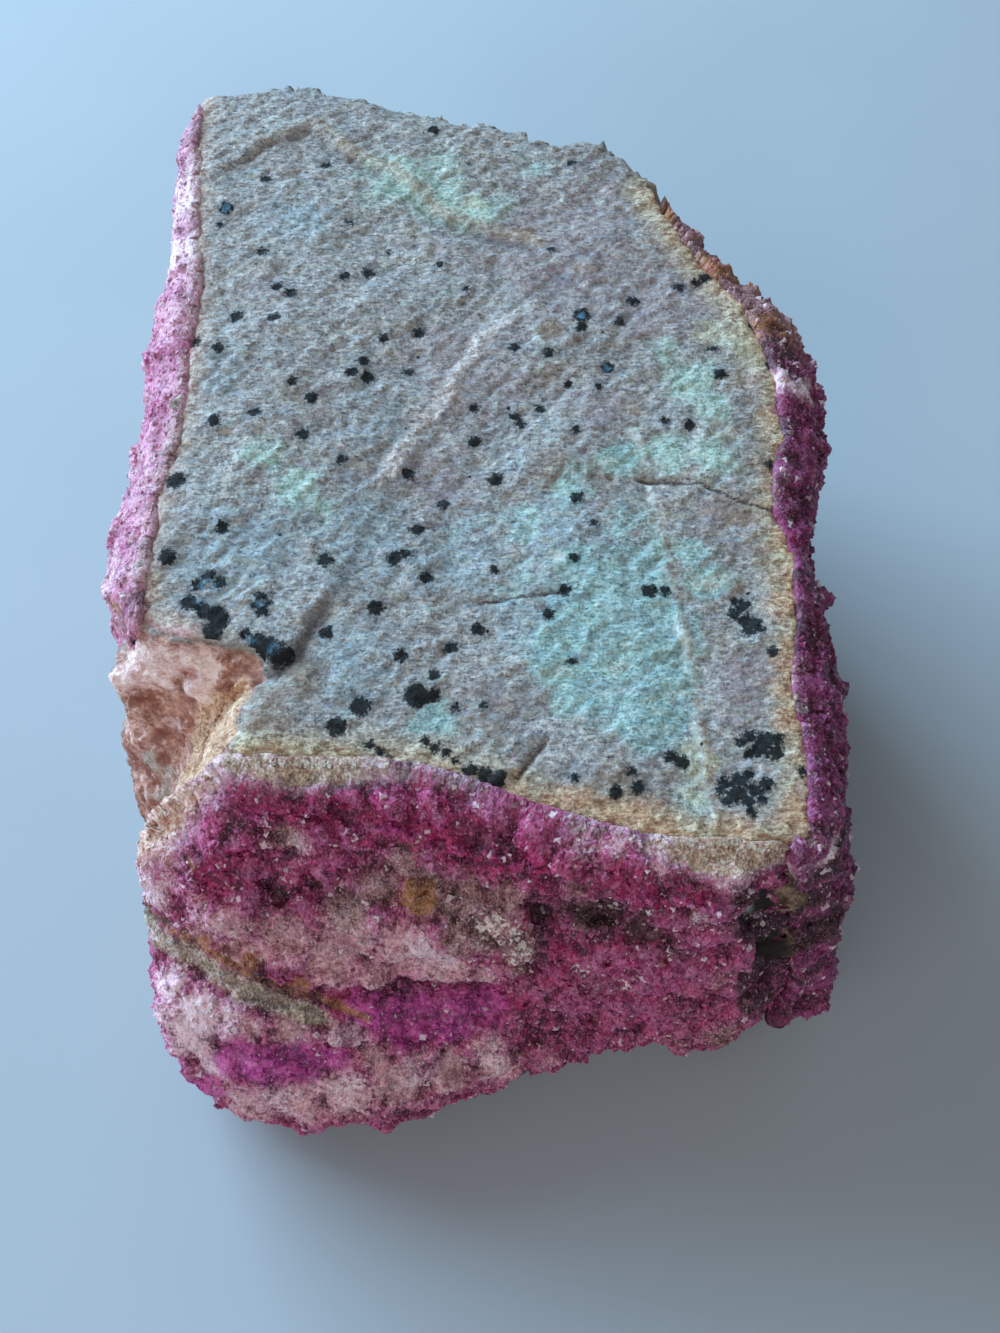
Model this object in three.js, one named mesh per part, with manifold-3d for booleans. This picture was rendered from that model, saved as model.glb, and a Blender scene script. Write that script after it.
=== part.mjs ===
// Cobaltoan calcite: a broken block of host rock with crusts of small calcite crystals on three of its sides.
// Millimetres, +Z up. The block lies on its flat underside and its broken top face leans towards -Y, the front.
import * as THREE from "three";
import { mergeVertices } from "three/addons/utils/BufferGeometryUtils.js";
import { ImprovedNoise } from "three/addons/math/ImprovedNoise.js";
import Module from "manifold-3d";

const wasm = await Module();
wasm.setup();

// ---- driving dimensions ----
const rimHeight = 48; // top face above the underside at y = 0
const topLean = THREE.MathUtils.degToRad(5); // the top face drops this much towards the front
const clearance = 0.35; // between the rock and each crust
const rockCells = { across: 16, along: 24, up: 12 }; // facets of the host rock
const crustDepth = 3; // how far a crust's blank reaches into the rock before it is cut to it
const rimDrop = 0.5; // the crusts end this much below the rim of the top face
const borderShare = 0.09; // share of a crust's spread over which it thins out at its border
const crystalSize = [1.6, 2.6]; // smallest and largest crystal tips, half their width
const crystalSteepness = 0.8; // height of a tip over half its width

// Outline of the host rock seen from above, counterclockwise from the front left corner. Each station is [x, y] at
// the rim, at two thirds and at one third of the height, and at the base.
const frontLeft = [[-24, -9.5], [-33, -12], [-32, -19.5], [-30.5, -21.5]];
const frontRight = [[27, -17], [29.5, -15.2], [32, -16.6], [31, -16.4]];
const backRight = [[17, 61], [18.5, 62], [19, 62.5], [16, 59]];
const backLeft = [[-35, 75], [-35.5, 76.5], [-34.5, 76.5], [-31, 72]];
const front = [
  frontLeft,
  [[-18.5, -9.8], [-24, -15], [-24, -25], [-22, -27]],
  [[-8.7, -10.4], [-12, -15.5], [-12.5, -24.5], [-11, -27.5]],
  [[0, -12.6], [-1, -16.5], [-1, -20.5], [1, -23.5]],
  [[7, -15.5], [8, -17.5], [9, -18.5], [10, -20.5]],
  [[14, -17], [15.5, -18.2], [17, -18.5], [17, -18.5]],
  [[21, -17.7], [23, -18.8], [24.5, -19], [23, -17.5]],
  frontRight,
];
const right = [
  frontRight,
  [[27.6, -7.3], [30, -6], [32, -5], [29, -4]],
  [[28, 2.7], [30, 4], [32.5, 5], [30, 5]],
  [[28, 11.4], [29.5, 13], [32, 14], [30, 13]],
  [[27.4, 18.5], [28.5, 20], [31, 21], [29, 20]],
  [[28.8, 26], [29.5, 28], [31, 29], [29, 28]],
  [[28.8, 34], [29.5, 36], [30.5, 37], [28, 36]],
  [[26.4, 42], [28.5, 43.5], [29.5, 44], [27, 43]],
  [[21.5, 49.4], [24, 51], [25.5, 52], [23, 50]],
  backRight,
];
const back = [
  backRight,
  [[12.5, 66], [14, 67.5], [14.5, 69], [12, 65]],
  [[0, 69.2], [0.5, 71], [1, 74.5], [0, 71]],
  [[-11.5, 73.2], [-11, 75], [-10, 77.5], [-10, 73.5]],
  [[-23, 76.6], [-23, 78.5], [-22, 79], [-21, 75]],
  backLeft,
];
const left = [
  backLeft,
  [[-34.4, 62], [-35, 63], [-34.5, 64], [-31, 62]],
  [[-33, 50], [-34, 51], [-35, 52], [-31.5, 50]],
  [[-32.2, 38], [-33.5, 40], [-35, 40], [-32, 39]],
  [[-32.6, 27], [-34, 29.5], [-35.5, 31], [-32, 30]],
  [[-33.5, 18.5], [-35, 21], [-36.5, 23], [-33, 22]],
  [[-34, 10], [-36, 13.5], [-37.5, 15], [-34.5, 14]],
  [[-33.4, 4.6], [-37.5, 7.5], [-39, 9], [-35, 8]],
  [[-28.5, 2.7], [-36.5, 3], [-39, 2], [-35, 2]],
  [[-19.8, 1.3], [-31.5, -2.5], [-36.5, -4], [-33.5, -4]],
  [[-22.5, -3.4], [-30.5, -6.5], [-34, -10.5], [-32, -12]],
  frontLeft,
];

// Swellings (+) and hollows (-). On the top face at is [x, y]; on a crust it is [along the side, height], measured
// by x on the front and by y on the other sides. Reach is how far they spread each way.
const topForms = [
  { at: [-22, 30], reach: [11, 26], rise: 0.9 },
  { at: [-6, 18], reach: [6, 13], rise: -0.8 },
  { at: [6, 38], reach: [13, 5], rise: 0.5 },
  { at: [4, 56], reach: [12, 4], rise: -0.9 },
];
const frontForms = [
  { at: [-31, 35], reach: [6, 4], rise: 1.2 }, // knob at the left end
  { at: [-17, 44], reach: [4, 1.8], rise: -1.3 }, // pit under the rim
  { at: [-19, 37], reach: [3.5, 2.6], rise: -1.7 }, // hollow beside the ledge
  { at: [-5, 33], reach: [10, 4], rise: 2.8 }, // ledge
  { at: [-5, 24], reach: [9, 3.5], rise: -1.4 }, // recess under the ledge
  { at: [-31, 29], reach: [4, 2.2], rise: -1.5 }, // groove running down to the right
  { at: [-25, 27], reach: [4, 2.2], rise: -1.6 },
  { at: [-18, 25], reach: [5, 2.2], rise: -1.6 },
  { at: [-29, 18], reach: [5, 4], rise: 1 }, // lower left lobe
  { at: [-4, 12], reach: [13, 4], rise: 0.8 }, // foot of the crust
  { at: [9, 37], reach: [4, 3.5], rise: -2 }, // brown hollow
  { at: [18, 34], reach: [4.5, 5], rise: 1.1 }, // right hand knobs
  { at: [12, 23], reach: [5, 4], rise: 1 },
  { at: [24, 34], reach: [2, 9], rise: -2 }, // cleft beside the right crust
];
const rightForms = [
  { at: [30, 45], reach: [9, 14], rise: 1.4 },
  { at: [18, 48], reach: [3.5, 8], rise: -1.4 },
  { at: [9, 46], reach: [6, 10], rise: -1.2 },
  { at: [-14, 34], reach: [6, 6], rise: -1 },
  { at: [-16, 14], reach: [6, 7], rise: 2 },
];
const leftForms = [
  { at: [62, 52], reach: [10, 12], rise: -0.6 },
  { at: [33, 50], reach: [14, 12], rise: 1 },
  { at: [26, 47], reach: [2.2, 4], rise: 1.2 },
  { at: [16, 46], reach: [7, 10], rise: 1.2 },
];

const noise = new ImprovedNoise();
const { lerp, smoothstep: smooth } = THREE.MathUtils;
const rough = (p, size, seed) => noise.noise(p.x / size + seed, p.y / size - seed, p.z / size + 2 * seed);

// A repeatable source of random numbers from 0 to 1.
function dice(seed) {
  let state = seed;
  return () => {
    state = (state * 1664525 + 1013904223) % 4294967296;
    return state / 4294967296;
  };
}

function swelling(forms, along, across) {
  return forms.reduce((sum, { at, reach, rise }) => {
    const x = (along - at[0]) / reach[0];
    const y = (across - at[1]) / reach[1];
    return sum + rise * Math.exp(-x * x - y * y);
  }, 0);
}

// ---- host rock ----
const topAt = (y) => rimHeight + y * Math.tan(topLean);

// One curve for each side and level, through the stations of that side.
const levelCurves = [front, right, back, left].map((side) =>
  [0, 1, 2, 3].map(
    (level) =>
      new THREE.CatmullRomCurve3(
        side.map((station) => new THREE.Vector3(...station[level], 0)),
        false,
        "catmullrom",
        0.35,
      ),
  ),
);

// A point of the wall. Ring runs once round the block from 0 to 4, one unit a side, and up runs from base to rim.
function wallPoint(ring, up) {
  const turn = ((ring % 4) + 4) % 4;
  const side = Math.min(3, Math.floor(turn));
  const stack = levelCurves[side].map((curve) => curve.getPoint(turn - side));
  const height = topAt(stack[0].y);
  stack.forEach((p, level) => (p.z = (height * (3 - level)) / 3));
  return new THREE.CatmullRomCurve3(stack.reverse(), false, "catmullrom", 0.5).getPoint(up);
}

// The rock's uneven fracture, as a shift that fades out on the flat underside.
function fracture(p) {
  const lift = smooth(p.z, 0, 4);
  return new THREE.Vector3(
    0.9 * rough(p, 8, 3.1) + 0.5 * rough(p, 3.5, 8.7),
    0.9 * rough(p, 8, 12.4) + 0.5 * rough(p, 3.5, 17.9),
    0.5 * rough(p, 9, 21.3) * lift + 0.35 * rough(p, 4, 26.5) * lift,
  );
}

// Fills the top or the underside between its four edges.
function facePoint(u, v, up) {
  const [south, east, north, west] = [u, 1 + v, 3 - u, 4 - v].map((ring) => wallPoint(ring, up));
  const corners = [0, 1, 2, 3].map((ring) => wallPoint(ring, up));
  const blend = new THREE.Vector3();
  blend.addScaledVector(south, 1 - v).addScaledVector(north, v);
  blend.addScaledVector(west, 1 - u).addScaledVector(east, u);
  blend.addScaledVector(corners[0], -(1 - u) * (1 - v)).addScaledVector(corners[1], -u * (1 - v));
  blend.addScaledVector(corners[2], -u * v).addScaledVector(corners[3], -(1 - u) * v);
  return blend;
}

function rockPoint(u, v, up) {
  let p;
  if (v === 0) p = wallPoint(u, up);
  else if (u === 1) p = wallPoint(1 + v, up);
  else if (v === 1) p = wallPoint(3 - u, up);
  else if (u === 0) p = wallPoint(4 - v, up);
  else p = facePoint(u, v, up);
  p.add(fracture(p));
  if (up === 1) p.z += swelling(topForms, p.x, p.y);
  return p;
}

// Moves every vertex of a box of the given cells by place(u, v, w), each from 0 to 1.
function shapedBox(cells, place) {
  const box = new THREE.BoxGeometry(1, 1, 1, ...cells);
  const position = box.attributes.position;
  const share = (c) => Math.round((c + 0.5) * 1e6) / 1e6;
  for (let i = 0; i < position.count; i++) {
    const p = place(share(position.getX(i)), share(position.getY(i)), share(position.getZ(i)));
    position.setXYZ(i, p.x, p.y, p.z);
  }
  box.deleteAttribute("normal");
  box.deleteAttribute("uv");
  return mergeVertices(box, 1e-4);
}

const rock = shapedBox([rockCells.across, rockCells.along, rockCells.up], rockPoint);

function grown(geometry, by) {
  const copy = geometry.clone();
  copy.computeVertexNormals();
  const { position, normal } = copy.attributes;
  for (let i = 0; i < position.count; i++) {
    position.setXYZ(
      i,
      position.getX(i) + by * normal.getX(i),
      position.getY(i) + by * normal.getY(i),
      position.getZ(i) + by * normal.getZ(i),
    );
  }
  copy.deleteAttribute("normal");
  return copy;
}

// ---- joining and cutting ----
function solidOf(geometry) {
  const merged = geometry.clone();
  merged.deleteAttribute("normal");
  merged.deleteAttribute("uv");
  const joined = mergeVertices(merged, 1e-4);
  return new wasm.Manifold(
    new wasm.Mesh({
      numProp: 3,
      vertProperties: new Float32Array(joined.attributes.position.array),
      triVerts: new Uint32Array(joined.index.array),
    }),
  );
}

function geometryOf(solid) {
  const mesh = solid.getMesh();
  return new THREE.BufferGeometry()
    .setAttribute("position", new THREE.BufferAttribute(mesh.vertProperties, 3))
    .setIndex(new THREE.BufferAttribute(mesh.triVerts, 1));
}

// ---- crusts ----
function outward(ring, up) {
  const step = 0.02;
  const along = wallPoint(ring + step, up).sub(wallPoint(ring - step, up));
  const rise = wallPoint(ring, Math.min(1, up + step)).sub(wallPoint(ring, Math.max(0, up - step)));
  const normal = along.cross(rise).normalize();
  normal.z *= 1 - smooth(up, 0.8, 0.95);
  return normal.normalize();
}

// A crust covers the wall between two values of ring, given at its foot and at the rim. Its ends and its foot waver.
function makeCrust({ foot, rim, footUp, waver, cells, thickness, forms, alongX, knobs, seed, crystals }) {
  const onWall = (u, v) => {
    const [start, end] = [0, 1].map((k) => lerp(foot[k], rim[k], v) + waver.ends * noise.noise(v * 4, k * 7, seed));
    const ring = lerp(start, end, u);
    const up = lerp(footUp + waver.foot * noise.noise(u * waver.lobes, 3.7, seed), 1, v);
    return { ring, up, p: wallPoint(ring, up) };
  };
  const depthAt = (u, v, p) => {
    const border = Math.min(u, 1 - u, v * 1.2) / borderShare;
    const edge = smooth(border + 0.5 * rough(p, 6, seed), 0, 1);
    const knob = Math.abs(rough(p, 5.5, seed + 4)) * knobs + rough(p, 2.6, seed + 9) * knobs * 0.4;
    return (thickness + knob + swelling(forms, alongX ? p.x : p.y, p.z)) * lerp(0.3, 1, edge);
  };
  const outer = (u, v) => {
    const { ring, up, p } = onWall(u, v);
    const normal = outward(ring, up);
    const top = smooth(v, 0.9, 1);
    const point = p.clone().addScaledVector(normal, depthAt(u, v, p) * (1 - 0.25 * top));
    point.z -= rimDrop * top;
    return { point, normal };
  };
  const inner = (u, v) => {
    const { ring, up, p } = onWall(u, v);
    p.addScaledVector(outward(ring, up), -crustDepth);
    p.z -= rimDrop * smooth(v, 0.9, 1);
    return p;
  };
  const blank = shapedBox([...cells, 1], (u, v, w) => (w > 0.5 ? outer(u, v).point : inner(u, v)));
  const random = dice(seed * 1000 + 7);
  let solid = solidOf(blank);
  for (let k = 0; k < crystals; k++) {
    const { point, normal } = outer(lerp(0.09, 0.91, random()), lerp(0.18, 0.9, random()));
    const size = lerp(...crystalSize, random());
    const tip = new THREE.ConeGeometry(size, size * crystalSteepness, 3).rotateY(random() * 2 * Math.PI);
    const lean = new THREE.Vector3(random() - 0.5, random() - 0.5, random() - 0.5).multiplyScalar(0.7);
    const axis = normal.clone().add(lean).normalize();
    tip.applyQuaternion(new THREE.Quaternion().setFromUnitVectors(new THREE.Vector3(0, 1, 0), axis));
    tip.translate(...point.toArray());
    solid = solid.add(solidOf(tip));
  }
  return geometryOf(solid.subtract(solidOf(grown(rock, clearance))));
}

const frontCrust = makeCrust({
  foot: [-0.05, 0.92],
  rim: [0.01, 0.92],
  footUp: 0.08,
  waver: { ends: 0.02, foot: 0.05, lobes: 7 },
  cells: [24, 16],
  thickness: 3.1,
  forms: frontForms,
  alongX: true,
  knobs: 2.2,
  seed: 5,
  crystals: 36,
});
const rightCrust = makeCrust({
  foot: [0.97, 1.92],
  rim: [0.965, 1.97],
  footUp: 0.1,
  waver: { ends: 0.02, foot: 0.09, lobes: 8 },
  cells: [30, 12],
  thickness: 2.8,
  forms: rightForms,
  alongX: false,
  knobs: 2.2,
  seed: 11,
  crystals: 34,
});
const leftCrust = makeCrust({
  foot: [3.12, 3.56],
  rim: [3.02, 3.62],
  footUp: 0.4,
  waver: { ends: 0.04, foot: 0.15, lobes: 4 },
  cells: [20, 8],
  thickness: 2.7,
  forms: leftForms,
  alongX: false,
  knobs: 1.6,
  seed: 19,
  crystals: 14,
});

// ---- the specimen ----
const finishes = {
  rock: { color: 0x8f9496, roughness: 0.95 },
  crust: { color: 0xa83c78, roughness: 0.45 },
  paleCrust: { color: 0xd58fae, roughness: 0.5 },
};

function piece(name, geometry, finish) {
  const mesh = new THREE.Mesh(geometry, new THREE.MeshStandardMaterial({ ...finish, metalness: 0 }));
  mesh.name = name;
  return mesh;
}

const specimen = new THREE.Group();
specimen.add(
  piece("host_rock", rock, finishes.rock),
  piece("front_crust", frontCrust, finishes.crust),
  piece("right_crust", rightCrust, finishes.crust),
  piece("left_crust", leftCrust, finishes.paleCrust),
);

// The origin is at the middle of the underside.
const bounds = new THREE.Box3().setFromObject(specimen);
const middle = bounds.getCenter(new THREE.Vector3());
specimen.position.set(-middle.x, -middle.y, -bounds.min.z);

export default specimen;
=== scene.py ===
# A specimen of cobaltoan calcite: sugary host rock with crusts of small magenta crystals on three sides.
import math
import random

import bmesh
import bpy
import numpy as np
from mathutils import Matrix, Vector, noise


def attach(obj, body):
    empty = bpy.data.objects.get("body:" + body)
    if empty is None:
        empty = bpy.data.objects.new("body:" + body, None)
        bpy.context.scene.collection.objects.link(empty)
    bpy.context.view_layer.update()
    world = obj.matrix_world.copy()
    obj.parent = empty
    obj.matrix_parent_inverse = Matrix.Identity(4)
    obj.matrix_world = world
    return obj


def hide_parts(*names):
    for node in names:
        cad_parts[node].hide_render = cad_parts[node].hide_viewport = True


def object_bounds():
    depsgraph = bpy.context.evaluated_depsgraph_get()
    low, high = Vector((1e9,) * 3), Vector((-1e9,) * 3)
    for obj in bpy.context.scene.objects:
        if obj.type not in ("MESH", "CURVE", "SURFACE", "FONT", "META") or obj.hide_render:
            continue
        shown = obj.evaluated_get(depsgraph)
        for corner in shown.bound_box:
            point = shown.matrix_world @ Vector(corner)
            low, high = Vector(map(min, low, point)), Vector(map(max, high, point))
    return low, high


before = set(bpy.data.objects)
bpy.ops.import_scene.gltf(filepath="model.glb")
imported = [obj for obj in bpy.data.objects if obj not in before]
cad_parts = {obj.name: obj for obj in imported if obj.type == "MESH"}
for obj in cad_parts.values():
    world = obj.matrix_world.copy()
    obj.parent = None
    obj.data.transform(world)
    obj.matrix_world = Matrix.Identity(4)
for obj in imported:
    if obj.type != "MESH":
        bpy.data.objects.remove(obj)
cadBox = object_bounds()
mm = 0.001
partOrigin = np.array([1.1, -24.3, 0.0])  # where the marks below are measured from, in mm of the row frame

studio = {
    "lens": 38,  # mm on a 36 mm sensor
    "cameraPitch": 57,  # degrees below the horizon
    "cameraPlace": (0, -69.7, 155.3),  # mm from partOrigin
    "floorSize": 3.0,
    "floorTone": "aab4bc",
    "skyTone": "f4fdff",
    "skyStrength": 0.3,
    "windowPlace": (-0.683, 0.573, 0.454),
    "windowSize": 0.8,
    "windowPower": 23.8,
    "windowTone": "bde3ff",
    "fillPlace": (-0.453, -0.785, 0.423),
    "fillSize": 0.9,
    "fillPower": 3.8,
    "fillTone": "fff4ee",
}


def linear(tone):
    # "rrggbb" as Blender's linear colour
    parts = [int(tone[i : i + 2], 16) / 255 for i in (0, 2, 4)]
    return tuple(c / 12.92 if c <= 0.04045 else ((c + 0.055) / 1.055) ** 2.4 for c in parts) + (1.0,)


scene = bpy.context.scene
scene.view_settings.view_transform = "Standard"


def setStudio():
    lens = bpy.data.cameras.new("camera")
    lens.lens = studio["lens"]
    lens.clip_start = 0.005
    camera = bpy.data.objects.new("camera", lens)
    camera.location = [(c + o) * mm for c, o in zip(studio["cameraPlace"], partOrigin)]
    camera.rotation_euler = (math.radians(90 - studio["cameraPitch"]), 0, 0)
    scene.collection.objects.link(camera)
    scene.camera = camera
    world = bpy.data.worlds.new("sky")
    world.use_nodes = True
    world.node_tree.nodes["Background"].inputs["Color"].default_value = linear(studio["skyTone"])
    world.node_tree.nodes["Background"].inputs["Strength"].default_value = studio["skyStrength"]
    scene.world = world
    for name in ("window", "fill"):
        pane = bpy.data.lights.new(name, "AREA")
        pane.size = studio[name + "Size"]
        pane.energy = studio[name + "Power"]
        pane.color = linear(studio[name + "Tone"])[:3]
        lamp = bpy.data.objects.new(name, pane)
        lamp.location = studio[name + "Place"]
        lamp.rotation_euler = (-Vector(studio[name + "Place"])).to_track_quat("-Z", "Y").to_euler()
        scene.collection.objects.link(lamp)


class Wire:
    # wraps a socket, so that an expression on values adds its Math nodes
    def __init__(self, finish, socket):
        self.finish = finish
        self.socket = socket

    def maths(self, operation, *values):
        return self.finish.add("ShaderNodeMath", {"operation": operation}, dict(enumerate(values)))

    def __add__(self, other):
        return self.maths("ADD", self, other)

    def __sub__(self, other):
        return self.maths("SUBTRACT", self, other)

    def __rsub__(self, other):
        return self.maths("SUBTRACT", other, self)

    def __mul__(self, other):
        return self.maths("MULTIPLY", self, other)

    __radd__ = __add__
    __rmul__ = __mul__

    def greatest(self, other):
        return self.maths("MAXIMUM", self, other)

    def step(self, low, high):
        # 0 below low, 1 above high and smooth between
        return self.finish.add(
            "ShaderNodeMapRange",
            {"interpolation_type": "SMOOTHSTEP", "clamp": True},
            {"Value": self, "From Min": low, "From Max": high},
        )


class Finish:
    # a material being wired up; its place is the Object coordinates in millimetres
    def __init__(self, name):
        self.material = bpy.data.materials.new(name)
        self.material.use_nodes = True
        self.tree = self.material.node_tree
        self.tree.nodes.clear()
        self.coordinates = self.add("ShaderNodeTexCoord", output="Object")
        self.place = self.mapping((0, 0, 0), (1000, 1000, 1000))

    def add(self, kind, settings=None, sockets=None, output=0):
        node = self.tree.nodes.new(kind)
        for key, value in (settings or {}).items():
            setattr(node, key, value)
        for key, value in (sockets or {}).items():
            if isinstance(value, Wire):
                self.tree.links.new(value.socket, node.inputs[key])
            else:
                node.inputs[key].default_value = value
        return Wire(self, node.outputs[output]) if node.outputs else None

    def mapping(self, turn, size):
        turn = [math.radians(angle) for angle in turn]
        sockets = {"Vector": self.coordinates, "Rotation": turn, "Scale": size}
        return self.add("ShaderNodeMapping", sockets=sockets)

    def field(self, name):
        return self.add("ShaderNodeAttribute", {"attribute_name": name}, output="Fac")

    def noise(self, size, detail=3.0, place=None, roughness=0.55, seed=0.0, output="Fac"):
        # noise from 0 to 1 whose features are about size mm across
        return self.add(
            "ShaderNodeTexNoise",
            {"noise_dimensions": "4D"},
            {
                "Vector": place or self.place,
                "W": seed,
                "Scale": 1 / size,
                "Detail": detail,
                "Roughness": roughness,
            },
            output,
        )

    def channels(self, colour):
        # the red, green and blue of a colour
        return [self.add("ShaderNodeSeparateColor", sockets={"Color": colour}, output=i) for i in range(3)]

    def cells(self, size, output="Distance"):
        # distance to the nearest of some scattered points, about size mm apart, or the colour of its cell
        sockets = {"Vector": self.place, "Scale": 1 / size}
        return self.add("ShaderNodeTexVoronoi", sockets=sockets, output=output)

    def mix(self, share, first, second, kind="MIX"):
        first, second = [linear(t) if isinstance(t, str) else t for t in (first, second)]
        settings = {"data_type": "RGBA", "blend_type": kind, "clamp_factor": True}
        return self.add("ShaderNodeMix", settings, {0: share, 6: first, 7: second}, 2)

    def facets(self, size, strength):
        # tilts the normal of each small cell its own way, as the faces of fine grains do
        tone = self.cells(size, "Color")
        centred = self.add("ShaderNodeVectorMath", {"operation": "SUBTRACT"}, {0: tone, 1: (0.5, 0.5, 0.5)})
        scaled = self.add("ShaderNodeVectorMath", {"operation": "SCALE"}, {0: centred, "Scale": strength})
        upright = self.add("ShaderNodeNewGeometry", output="Normal")
        tilted = self.add("ShaderNodeVectorMath", {"operation": "ADD"}, {0: upright, 1: scaled})
        return self.add("ShaderNodeVectorMath", {"operation": "NORMALIZE"}, {0: tilted})

    def bump(self, height, distance, normal=None, strength=1.0):
        sockets = {"Height": height, "Distance": distance * mm, "Strength": strength}
        if normal:
            sockets["Normal"] = normal
        return self.add("ShaderNodeBump", sockets=sockets)

    def surface(self, sockets):
        shader = self.add("ShaderNodeBsdfPrincipled", sockets=sockets)
        self.add("ShaderNodeOutputMaterial", sockets={"Surface": shader})
        return self.material


def meshArrays(mesh):
    # vertex places in mm from partOrigin, and vertex normals
    place = np.empty(len(mesh.vertices) * 3)
    mesh.vertices.foreach_get("co", place)
    normal = np.empty(len(mesh.vertices) * 3)
    mesh.vertex_normals.foreach_get("vector", normal)
    return place.reshape(-1, 3) / mm - partOrigin, normal.reshape(-1, 3)


def putPlaces(mesh, place):
    # stays inside the box of the CAD model
    low, high = (np.array(corner) for corner in cadBox)
    inside = np.clip((place + partOrigin) * mm, low, high)
    mesh.vertices.foreach_set("co", inside.ravel())
    mesh.update()


def smoothNoise(place, size, seed, octaves=1):
    # noise about -1 to 1 at each place, with features about size mm across
    scaled = place / size + seed
    if octaves == 1:
        return np.array([noise.noise(p) for p in scaled.tolist()])
    return np.array([noise.fractal(p, 0.8, 2.1, octaves) for p in scaled.tolist()])


def cellNoise(place, size, seed):
    # distance to the nearest cell centre, in cells
    scaled = (place / size + seed).tolist()
    return np.array([noise.voronoi(p, distance_metric="DISTANCE")[0][0] for p in scaled])


def fractured(place, size, seed):
    # flat facets about size mm across, each tilted its own way, about -0.5 to 0.5
    steps = []
    for p in (place / size + seed).tolist():
        centre = noise.voronoi(p, distance_metric="DISTANCE")[1][0]
        tilt = noise.noise_vector(centre * 5.3).normalized()
        steps.append((Vector(p) - centre).dot(tilt))
    return np.array(steps)


def blobField(flat, blobs):
    # greatest share of the soft blobs [across, up, reach, strength] at each place
    field = np.zeros(len(flat))
    for u, v, reach, strength in blobs:
        gap = np.hypot(flat[:, 0] - u, flat[:, 1] - v) / reach
        field = np.maximum(field, strength * np.exp(-gap * gap))
    return field


def lineGap(flat, points):
    # distance to a run of points and the side of it: positive to its right
    best = np.full(len(flat), 1e3)
    side = np.zeros(len(flat))
    for a, b in zip(points, points[1:]):
        a, b = np.array(a, float), np.array(b, float)
        along = b - a
        share = np.clip(((flat - a) @ along) / (along @ along), 0, 1)
        offset = flat - (a + share[:, None] * along)
        gap = np.hypot(offset[:, 0], offset[:, 1])
        nearer = gap < best
        best = np.where(nearer, gap, best)
        turn = offset[:, 0] * along[1] - offset[:, 1] * along[0]
        side = np.where(nearer, np.sign(turn), side)
    return best, side


sightTurn = math.radians(studio["cameraPitch"])


def sightAxes(place):
    # places as seen by the camera: mm across and mm up
    return np.stack([place[:, 0], place[:, 1] * math.sin(sightTurn) + place[:, 2] * math.cos(sightTurn)], 1)


def bell(gap, reach):
    return np.exp(-((gap / reach) ** 2))


def ramp(value, low, high):
    share = np.clip((value - low) / (high - low), 0, 1)
    return share * share * (3 - 2 * share)


def putField(mesh, name, values):
    attribute = mesh.attributes.new(name, "FLOAT", "POINT")
    attribute.data.foreach_set("value", np.asarray(values, np.float32))


def remeshed(node, name, voxel, rounds):
    # a merged copy of a CAD node as an even mesh, its facets smoothed away
    bm = bmesh.new()
    bm.from_mesh(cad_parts[node].data)
    bmesh.ops.remove_doubles(bm, verts=bm.verts, dist=1e-6)
    mesh = bpy.data.meshes.new(name)
    bm.to_mesh(mesh)
    bm.free()
    piece = bpy.data.objects.new(name, mesh)
    scene.collection.objects.link(piece)
    remesh = piece.modifiers.new("even", "REMESH")
    remesh.mode = "VOXEL"
    remesh.voxel_size = voxel * mm
    soften = piece.modifiers.new("soften", "SMOOTH")
    soften.factor = 0.5
    soften.iterations = rounds
    applyModifiers(piece)
    return piece


def applyModifiers(piece):
    bpy.context.view_layer.update()
    shaped = bpy.data.meshes.new_from_object(piece.evaluated_get(bpy.context.evaluated_depsgraph_get()))
    shaped.name = piece.name
    piece.modifiers.clear()
    piece.data = shaped


def finishPiece(piece, material, nodes=(), flat=False):
    piece.data.materials.clear()
    piece.data.materials.append(material)
    for polygon in piece.data.polygons:
        polygon.use_smooth = not flat
    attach(piece, "root")
    if nodes:
        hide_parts(*nodes)
    print(piece.name, len(piece.data.polygons), "faces")


rock = {
    "voxel": 0.96,  # mm, the mesh of the walls
    "topCuts": 2,  # further cuts of the top face, the notch and the cleft
    "topDrop": 8,  # mm that the top face falls from rimHeight to its lowest edge
    "smoothing": 4,
    "rimHeight": 48,  # height of the top face at y = 0, which leans as in the solids
    "topLean": 5,
    "grain": 0.1,  # mm, height of the sugary grain
    "fabric": 0.2,  # height of the streaks across the top face
    "swell": 0.35,  # height of the broad unevenness
    "creaseHeight": 0.7,
    "scarpHeight": 0.5,
    "ridgeHeight": 0.22,
    "veinHeight": 0.12,
    "crackDepth": 0.4,
    "facetSizes": ((1.3, 9, 14.0), (0.7, 3.6, 6.0)),  # height, size and seed of the broken walls' facets
    "stoneTones": ("767376", "c9c5c0"),
    "tipTone": "f0ead3",
    "copperTones": ("77a5a8", "b4d6d2"),
    "rimTones": ("9c8060", "ead9b6"),
    "rustTone": "b0703c",
    "speckTones": ("06090c", "1c3845"),
    "ironTones": ("8b584c", "cd9a88"),
    "facetSeed": 1795483709,  # draws the tilts of the broken facets
}
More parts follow.
